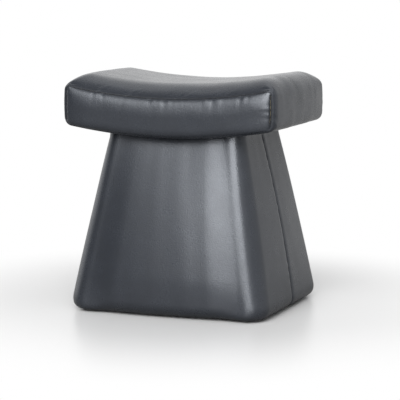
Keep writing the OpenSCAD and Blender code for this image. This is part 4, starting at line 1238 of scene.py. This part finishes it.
class STOOL_OT_pedestal_leather(bpy.types.Operator):
    """Sew the pedestal's leather in a front and a back half, with its rolled hem"""

    bl_idname = "stool.pedestal_leather"
    bl_label = "Pedestal leather"

    def execute(self, context):
        form = PedestalForm(context.scene, SeatForm(context.scene))
        for side, turn in SIDES:
            self.half(form, side, turn)
        return {"FINISHED"}

    def half(self, form, side, turn):
        pad = form.pad
        sides = np.cumsum(np.append(0, np.minimum(0.0006 * 1.22 ** np.arange(40), 0.0036)))
        counts = (sides / sides[-1] * (1 - SEAM_START) + SEAM_START, *WALL_COUNTS)
        # Rows down the wall and round its hem, then the leather turned under the foot
        rows, _ = form.rows(0, WALL_ROWS, np.linspace(0, math.pi / 2, ROLL_ROWS), *counts)
        low, inner = rows[-1], form.hem_edge(form.size.clearance, *counts)
        rows += [low * (1 - part) + inner * part for part in np.linspace(0, 1, 6)[1:]]
        grid = np.array(rows)
        x, y, z = np.moveaxis(grid, -1, 0)
        normals = grid_normals(grid, grid * [1, 1, 0])
        seam = -y
        seed = 60 if turn > 0 else 80
        soft = waves(seed, 0.05, np.arctan2(y, x) * 0.18, z * 0.16) * 0.15
        soft = soft + waves(seed + 1, 0.13, x, y, z * 0.5) * 0.35
        gathers = waves(seed + 2, 0.02, z, y * 0.2)
        lift = rippled(pad, 1.4, soft, seam) + gathered(pad, 0.9, gathers, seam, 0.010, 0.003)
        corner = form.corner_turn(x, y, z)
        near_foot = smooth((FOLD_TOP - z) / FOLD_RUN)
        for angle, depth, width in FOOT_FOLDS:
            lift -= depth * near_foot * bell(corner, angle, width)
        grid = grid + normals * lift[..., None]
        inward = np.stack([-np.sign(x), 0 * y, 0 * z], -1)
        grid = pull_in(grid, seam, inward, 0.0016, 0.0010)
        wear = 0.15 + 0.5 * bell(corner, 0, 0.55) + 0.5 * smooth((0.04 - z) / 0.03)
        piece = sewn_piece(f"pedestal_{side}_leather", f"base_cover_{side}",
                           turned(grid, turn), turned(normals, turn), seam,
                           np.clip(wear, 0, 1), pad.leather)


class STOOL_OT_pedestal_foam(bpy.types.Operator):
    """Lay the foam on the pedestal's four walls, rolled in at the foot"""

    bl_idname = "stool.pedestal_foam"
    bl_label = "Pedestal foam"

    def execute(self, context):
        seat = SeatForm(context.scene)
        form = PedestalForm(context.scene, seat)
        gap, sides = form.pad.gap, np.linspace(0.002, 1, 14)
        angles = np.linspace(0, math.radians(60), 7)
        rows, levels = form.rows(seat.skin, PAD_ROWS, angles, sides, *PAD_COUNTS)
        grid, levels = np.array(rows), np.array(levels)[:, None]
        half_x, half_y = form.halves(levels, form.pad.wall)
        left, right = len(sides) + 5, grid.shape[1] - len(sides) - 6
        # The front pad ends on its corners, half a gap short of the end pads
        face = grid[:, left:right + 1].copy()
        limit = -face[:, :1, 0] - gap / 2
        face[..., 0] = np.clip(face[..., 0], -limit, limit)
        face_inner = face.copy()
        face_inner[..., 0] = np.clip(face[..., 0], -half_x, half_x)
        face_inner[..., 1] = np.maximum(-half_y - gap, face[..., 1] + THIN_FOAM)
        # An end pad's front half, and then the whole of it
        near = grid[:, right:].copy()
        near[..., 1] = np.maximum(near[..., 1], near[:, :1, 1] + gap / 2)
        end = np.concatenate([near, near[:, ::-1] * [1, -1, 1]], 1)
        end_inner = end.copy()
        end_inner[..., 0] = np.minimum(half_x + gap, end[..., 0] - THIN_FOAM)
        end_inner[..., 1] = np.clip(end[..., 1], -half_y, half_y)
        end_inner[..., 2] = np.minimum(end[..., 2],
                                       seat.arc(seat.neck_radius, end_inner[..., 0]))
        for pads, outer, inner in ((SIDES, face, face_inner), (ENDS, end, end_inner)):
            for side, turn in pads:
                piece = foam_piece(f"pedestal_{side}_foam", f"base_{side}_pad", outer,
                                   form.behind_corner(inner), turn)
        return {"FINISHED"}


BOLT_IN, BOLT_HOLE = 0.007, 0.0043  # From the bolts' outer edge in to a hole's centre, radius
GLIDE_IN, GLIDE_HOLE = 0.010, 0.0103  # The same for the glides
PEDESTAL_HALF = 0.139  # Half width of the pedestal's neck, inside which the cloth lies flat
SEAT_SAG, BASE_WAVES = 0.0009, 0.0012  # How far the cloths sag and wave
HELD, FREE_RUN = 0.03, 0.04  # Width that is held flat at the foot, and the run to its waves
SAG_RUN = 0.03  # Distance from the edge over which the seat's cloth comes to its sag
STAPLE_INSET = 0.005  # From a cloth's edge in to its staples
THREAD_SINK, SIDE_SINK = 0.0012, 0.0010  # How deep the thread lies in the seams


class STOOL_OT_dust_cloths(bpy.types.Operator):
    """Close both undersides with black cloth, held by staples"""

    bl_idname = "stool.dust_cloths"
    bl_label = "Dust cloths"

    def execute(self, context):
        scene = context.scene
        seat = SeatForm(scene)
        form = PedestalForm(scene, seat)
        pad, size, sewing = seat.pad, form.size, scene.stool_sewing
        lap = pad.cloth_lap - seat.size.hem
        half_x, half_y = seat.seam_x + lap, seat.seam_y + lap
        seat_edge = rounded_outline(half_x, half_y, 0.004, 3)
        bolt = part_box("joining_bolts")[1]
        holes = corner_holes(bolt.x - BOLT_IN, bolt.y - BOLT_IN, BOLT_HOLE)

        def seat_height(x, y):
            free = smooth((half_x - np.abs(x)) / SAG_RUN) * smooth(
                (half_y - np.abs(y)) / SAG_RUN)
            outside = smooth((np.abs(x) / PEDESTAL_HALF - 1) * 4)
            return seat.arc(seat.cloth_radius + pad.cloth, x) - SEAT_SAG * free * outside

        cloth = cloth_piece("seat_dust_cloth_sheet", seat_edge, holes, seat_height, 0.007,
                            pad.cloth)
        finish_piece(cloth, ["seat_dust_cloth"])
        a, b = form.halves(size.clearance, size.hem_depth + size.hem_width - pad.cloth_lap)
        floor = size.clearance - pad.gap - pad.cloth
        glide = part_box("floor_glides")[1]
        holes = corner_holes(glide.x - GLIDE_IN, glide.y - GLIDE_IN, GLIDE_HOLE)
        base_edge = rounded_outline(a, b, size.corner - size.hem_depth)

        def base_height(x, y):
            free = smooth((a - np.abs(x) - HELD) / FREE_RUN) * smooth(
                (b - np.abs(y) - HELD) / FREE_RUN)
            return floor + BASE_WAVES * free * waves(91, 0.12, x, y)

        cloth = cloth_piece("pedestal_dust_cloth_sheet", base_edge, holes, base_height, 0.008,
                            pad.cloth)
        finish_piece(cloth, ["base_dust_cloth"])
        tree = staple_tree()
        values = {"Pitch": sewing.staple_pitch, "Width": sewing.staple_width,
                  "Wire": sewing.staple_wire, "Seed": sewing.seed,
                  "Material": MATERIALS["steel"]}
        for name, edge, height in (("seat", seat_edge, seat_height),
                                   ("pedestal", base_edge, lambda x, y: floor + 0 * x)):
            path = staple_path(edge, STAPLE_INSET, height)
            repeated_piece(f"{name}_cloth_staples", tree, [path], values)
        return {"FINISHED"}


class STOOL_OT_seams(bpy.types.Operator):
    """Run the thread through every seam of the leather"""

    bl_idname = "stool.seams"
    bl_label = "Seams"

    def execute(self, context):
        scene = context.scene
        seat, sewing = SeatForm(scene), scene.stool_sewing
        values = {"Pitch": sewing.pitch, "Length": sewing.stitch,
                  "Thread radius": sewing.thread, "Material": MATERIALS["thread"]}
        tree = stitch_tree()
        for name, paths in (("seat", self.seat_paths(seat)),
                            ("pedestal", self.side_paths(PedestalForm(scene, seat)))):
            repeated_piece(f"{name}_seam_thread", tree, paths, values)
        return {"FINISHED"}

    def seat_paths(self, seat):
        """The front and the back seam, round both ends and over the top."""
        row = seat.strip_row(seat.seam_y, 0, 0)
        line = row[np.abs(row[:, 2] - seat.low_height(seat.seam, row[:, 0])) > 0.002]
        along = np.gradient(line, axis=0)
        normal = unit(along[:, ::-1] * [1, 0, -1])
        if normal[len(normal) // 2, 2] < 0:
            normal = -normal
        paths = []
        for turn in (1, -1):
            out = normal * LEAN - [0, ACROSS * turn, 0]
            across = -normal * ACROSS - [0, LEAN * turn, 0]
            paths.append((line * [1, -turn, 1] - out * THREAD_SINK, across, out))
        return paths

    def side_paths(self, form):
        """The seams down the pedestal's two ends, to round the hem."""
        places = [(0, z) for z in np.linspace(form.neck_z + 0.005, form.hem_top, 80)]
        places += [form.hem(angle, 0) for angle in np.linspace(0, 1.2, 8)]
        line = np.array([(form.seam_x(z, inset) - SIDE_SINK, 0, z) for inset, z in places])
        return [(line * [turn, 1, 1], np.tile([0.0, 1.0, 0.0], (len(line), 1)),
                 np.tile([turn, 0.0, 0.0], (len(line), 1))) for turn in (1, -1)]


# Share of the room's light, middle and half width round the stool, low and high edge above
# the horizon, and softness of the edges, in degrees from straight in front
ROOM_PANELS = ((0.5, 130, 50, -20, 40, 12),
               (1.05, 230, 50, -20, 45, 15),
               (1.2, 60, 75, 50, 120, 15),
               (0.9, 180, 50, 50, 75, 12),
               (1.6, 24, 22, -6, 12, 8),
               (0.8, 22, 55, 8, 50, 15),
               (2.1, -4, 36, 25, 50, 12),
               (0.4, 0, 200, -120, -30, 8))
FLOOR_HALF = 40  # Half side of the floor
FADE_START, FADE_STOP = 0.3, 0.75  # Where the floor starts to fade and is all white
MIRROR_STOP, MIRROR_SHARE = 1.6, 0.35  # How far back its mirror image pales, and how much
LAMP_PLACE, LAMP_AIM, LAMP_SIZE = (0.57, -2.74, 1.80), (0, 0, 0.25), 2.4
OPEN_EDGE = 1.75  # Where the opening under the pedestal starts, in depths of its hem


def aimed(scene, data, place, way):
    """Adds a lamp or a camera that looks along a direction from its place."""
    made = bpy.data.objects.new(data.name, data)
    scene.collection.objects.link(made)
    turn = way.to_track_quat("-Z", "Y").to_matrix().to_4x4()
    made.matrix_world = Matrix.Translation(place) @ turn
    return made


class STOOL_OT_studio(bpy.types.Operator):
    """Set the floor, the background, the lamps and the camera"""

    bl_idname = "stool.studio"
    bl_label = "Studio"

    def execute(self, context):
        scene = context.scene
        self.floor(scene)
        self.world(scene)
        self.lamps(scene)
        self.camera(scene)
        scene.view_settings.view_transform = "Standard"
        return {"FINISHED"}

    def floor(self, scene):
        """A pale floor that fades to white, clear from below and under the pedestal."""
        mesh, h = bpy.data.meshes.new("studio_floor"), FLOOR_HALF
        mesh.from_pydata([(-h, -h, 0), (h, -h, 0), (h, h, 0), (-h, h, 0)], [],
                         [(0, 1, 2, 3)])
        material, shader, nodes = new_material("pale_floor")
        look, pedestal = scene.stool_look, scene.stool_pedestal
        paths = nodes.add("ShaderNodeLightPath").outputs
        seen, glossy = paths["Is Camera Ray"], paths["Is Glossy Ray"]
        nodes.feed(shader, {"Base Color": nodes.mix(seen, look.floor_bounce, look.floor),
                            "Roughness": 0.32, "Specular IOR Level": 0.35})
        place = nodes.place()
        distance = nodes.add("ShaderNodeVectorMath", {0: place}, operation="LENGTH")
        x, y, _ = nodes.add("ShaderNodeSeparateXYZ", {0: place}).outputs
        shown = nodes.times(nodes.ranged(distance.outputs["Value"], FADE_START, FADE_STOP), seen)
        mirrored = nodes.times(nodes.ranged(y, 0, MIRROR_STOP, 0, MIRROR_SHARE), glossy)
        white = nodes.add("ShaderNodeEmission", {"Color": (1, 1, 1, 1)})
        faded = nodes.add("ShaderNodeMixShader", {
            0: nodes.math("MAXIMUM", shown, mirrored), 1: shader.outputs[0],
            2: white.outputs[0]})
        under = nodes.add("ShaderNodeNewGeometry").outputs["Backfacing"]
        hidden = nodes.math("SUBTRACT", 1.0, seen)
        for part, size in ((x, pedestal.width), (y, pedestal.depth)):
            within = nodes.math("LESS_THAN", nodes.math("ABSOLUTE", part),
                                size / 2 - pedestal.hem_depth * OPEN_EDGE)
            hidden = nodes.math("MINIMUM", hidden, within)
        clear = nodes.add("ShaderNodeBsdfTransparent")
        opened = nodes.add("ShaderNodeMixShader", {
            0: nodes.math("MAXIMUM", under, hidden), 1: faded.outputs[0],
            2: clear.outputs[0]})
        out = next(n for n in material.node_tree.nodes if n.type == "OUTPUT_MATERIAL")
        nodes.feed(out, {"Surface": opened.outputs[0]})
        mesh.materials.append(material)
        floor = bpy.data.objects.new("studio_floor", mesh)
        scene.collection.objects.link(floor)

    def world(self, scene):
        """White backdrop; big soft panels of light stand round the stool."""
        world = bpy.data.worlds.new("studio")
        scene.world = world
        world.use_nodes = True
        world.node_tree.nodes.clear()
        nodes = Nodes(world.node_tree)
        way = nodes.add("ShaderNodeTexCoord").outputs["Generated"]
        x, y, z = nodes.add("ShaderNodeSeparateXYZ", {0: way}).outputs
        azimuth, height = nodes.math("ARCTAN2", x, nodes.times(y, -1.0)), nodes.math("ARCSINE", z)
        level = 0.0
        for part_of_room, *edges in ROOM_PANELS:
            strength = part_of_room * scene.stool_studio.room
            panel = self.panel(nodes, azimuth, height, *edges)
            level = nodes.math("MULTIPLY_ADD", panel, strength, level)
        seen = nodes.add("ShaderNodeLightPath").outputs["Is Camera Ray"]
        shown = nodes.add("ShaderNodeMix", {0: seen, 2: level, 3: 1.0}, data_type="FLOAT")
        light = nodes.add("ShaderNodeBackground", {
            "Color": (1, 1, 1, 1), "Strength": shown.outputs[0]})
        nodes.add("ShaderNodeOutputWorld", {"Surface": light.outputs[0]})

    def panel(self, nodes, azimuth, height, middle, half, low, high, soft):
        """1 within a panel of directions, in degrees, and 0 well outside it."""
        turn = nodes.math("SUBTRACT", azimuth, math.radians(middle))
        off = nodes.math("ABSOLUTE", nodes.math("WRAP", turn, math.pi, -math.pi))
        level = 1.0
        for value, inner, outer in ((off, half - soft, half + soft),
                                    (height, high - soft, high + soft),
                                    (height, low + soft, low - soft)):
            edge = nodes.ranged(value, math.radians(inner), math.radians(outer), 1.0, 0.0)
            level = nodes.times(level, edge)
        return level

    def lamps(self, scene):
        """The main soft panel, and its twin that lights the seat's top without glare."""
        place, aim = Vector(LAMP_PLACE), Vector(LAMP_AIM)
        top = bpy.data.objects["seat_strip_leather"]
        for name, link_state in (("key_lamp", "EXCLUDE"), ("seat_lamp", "INCLUDE")):
            data = bpy.data.lights.new(name, "AREA")
            data.energy, data.shape = scene.stool_studio.key, "RECTANGLE"
            data.size, data.size_y = LAMP_SIZE, LAMP_SIZE
            lamp = aimed(scene, data, place, aim - place)
            lit = bpy.data.collections.new(name + "_lit")
            lit.objects.link(top)
            lit.collection_objects[0].light_linking.link_state = link_state
            lamp.light_linking.receiver_collection = lit
            lamp.visible_glossy = link_state == "EXCLUDE"

    def camera(self, scene):
        studio = scene.stool_studio
        a, e = studio.azimuth, studio.elevation
        back = Vector((math.sin(a) * math.cos(e), -math.cos(a) * math.cos(e), math.sin(e)))
        data = bpy.data.cameras.new("camera")
        data.lens, data.sensor_width = studio.focal, 36
        data.clip_start, data.clip_end = 0.1, 60
        scene.camera = aimed(scene, data, studio.eye, -back)


class STOOL_PT_panel(bpy.types.Panel):
    """Lists the stool's pieces and sizes"""

    bl_idname = "STOOL_PT_panel"
    bl_label = "Stool"
    bl_space_type = "VIEW_3D"
    bl_region_type = "UI"
    bl_category = "Stool"

    def draw(self, context):
        for operator in OPERATORS:
            self.layout.operator(operator.bl_idname)
        for label in GROUPS:
            group = getattr(context.scene, label)
            box = self.layout.box()
            box.label(text=group.__doc__)
            for name in group.__annotations__:
                box.prop(group, name)


OPERATORS = (STOOL_OT_finishes, STOOL_OT_seat_foam, STOOL_OT_seat_leather,
             STOOL_OT_pedestal_foam, STOOL_OT_pedestal_leather, STOOL_OT_dust_cloths,
             STOOL_OT_seams, STOOL_OT_studio)
GROUPS = {"stool_seat": SeatSizes, "stool_pedestal": PedestalSizes,
          "stool_padding": PaddingSizes, "stool_sewing": SewingSizes,
          "stool_look": FinishLook, "stool_studio": StudioLook}


def register():
    for kind in (*GROUPS.values(), *OPERATORS, STOOL_PT_panel):
        bpy.utils.register_class(kind)
    for label, kind in GROUPS.items():
        setattr(bpy.types.Scene, label, PointerProperty(type=kind))


def unregister():
    for label in GROUPS:
        delattr(bpy.types.Scene, label)
    for kind in reversed((*GROUPS.values(), *OPERATORS, STOOL_PT_panel)):
        bpy.utils.unregister_class(kind)


def main():
    register()
    for operator in OPERATORS:
        group, name = operator.bl_idname.split(".")
        getattr(getattr(bpy.ops, group), name)()


if __name__ == "__main__":
    main()
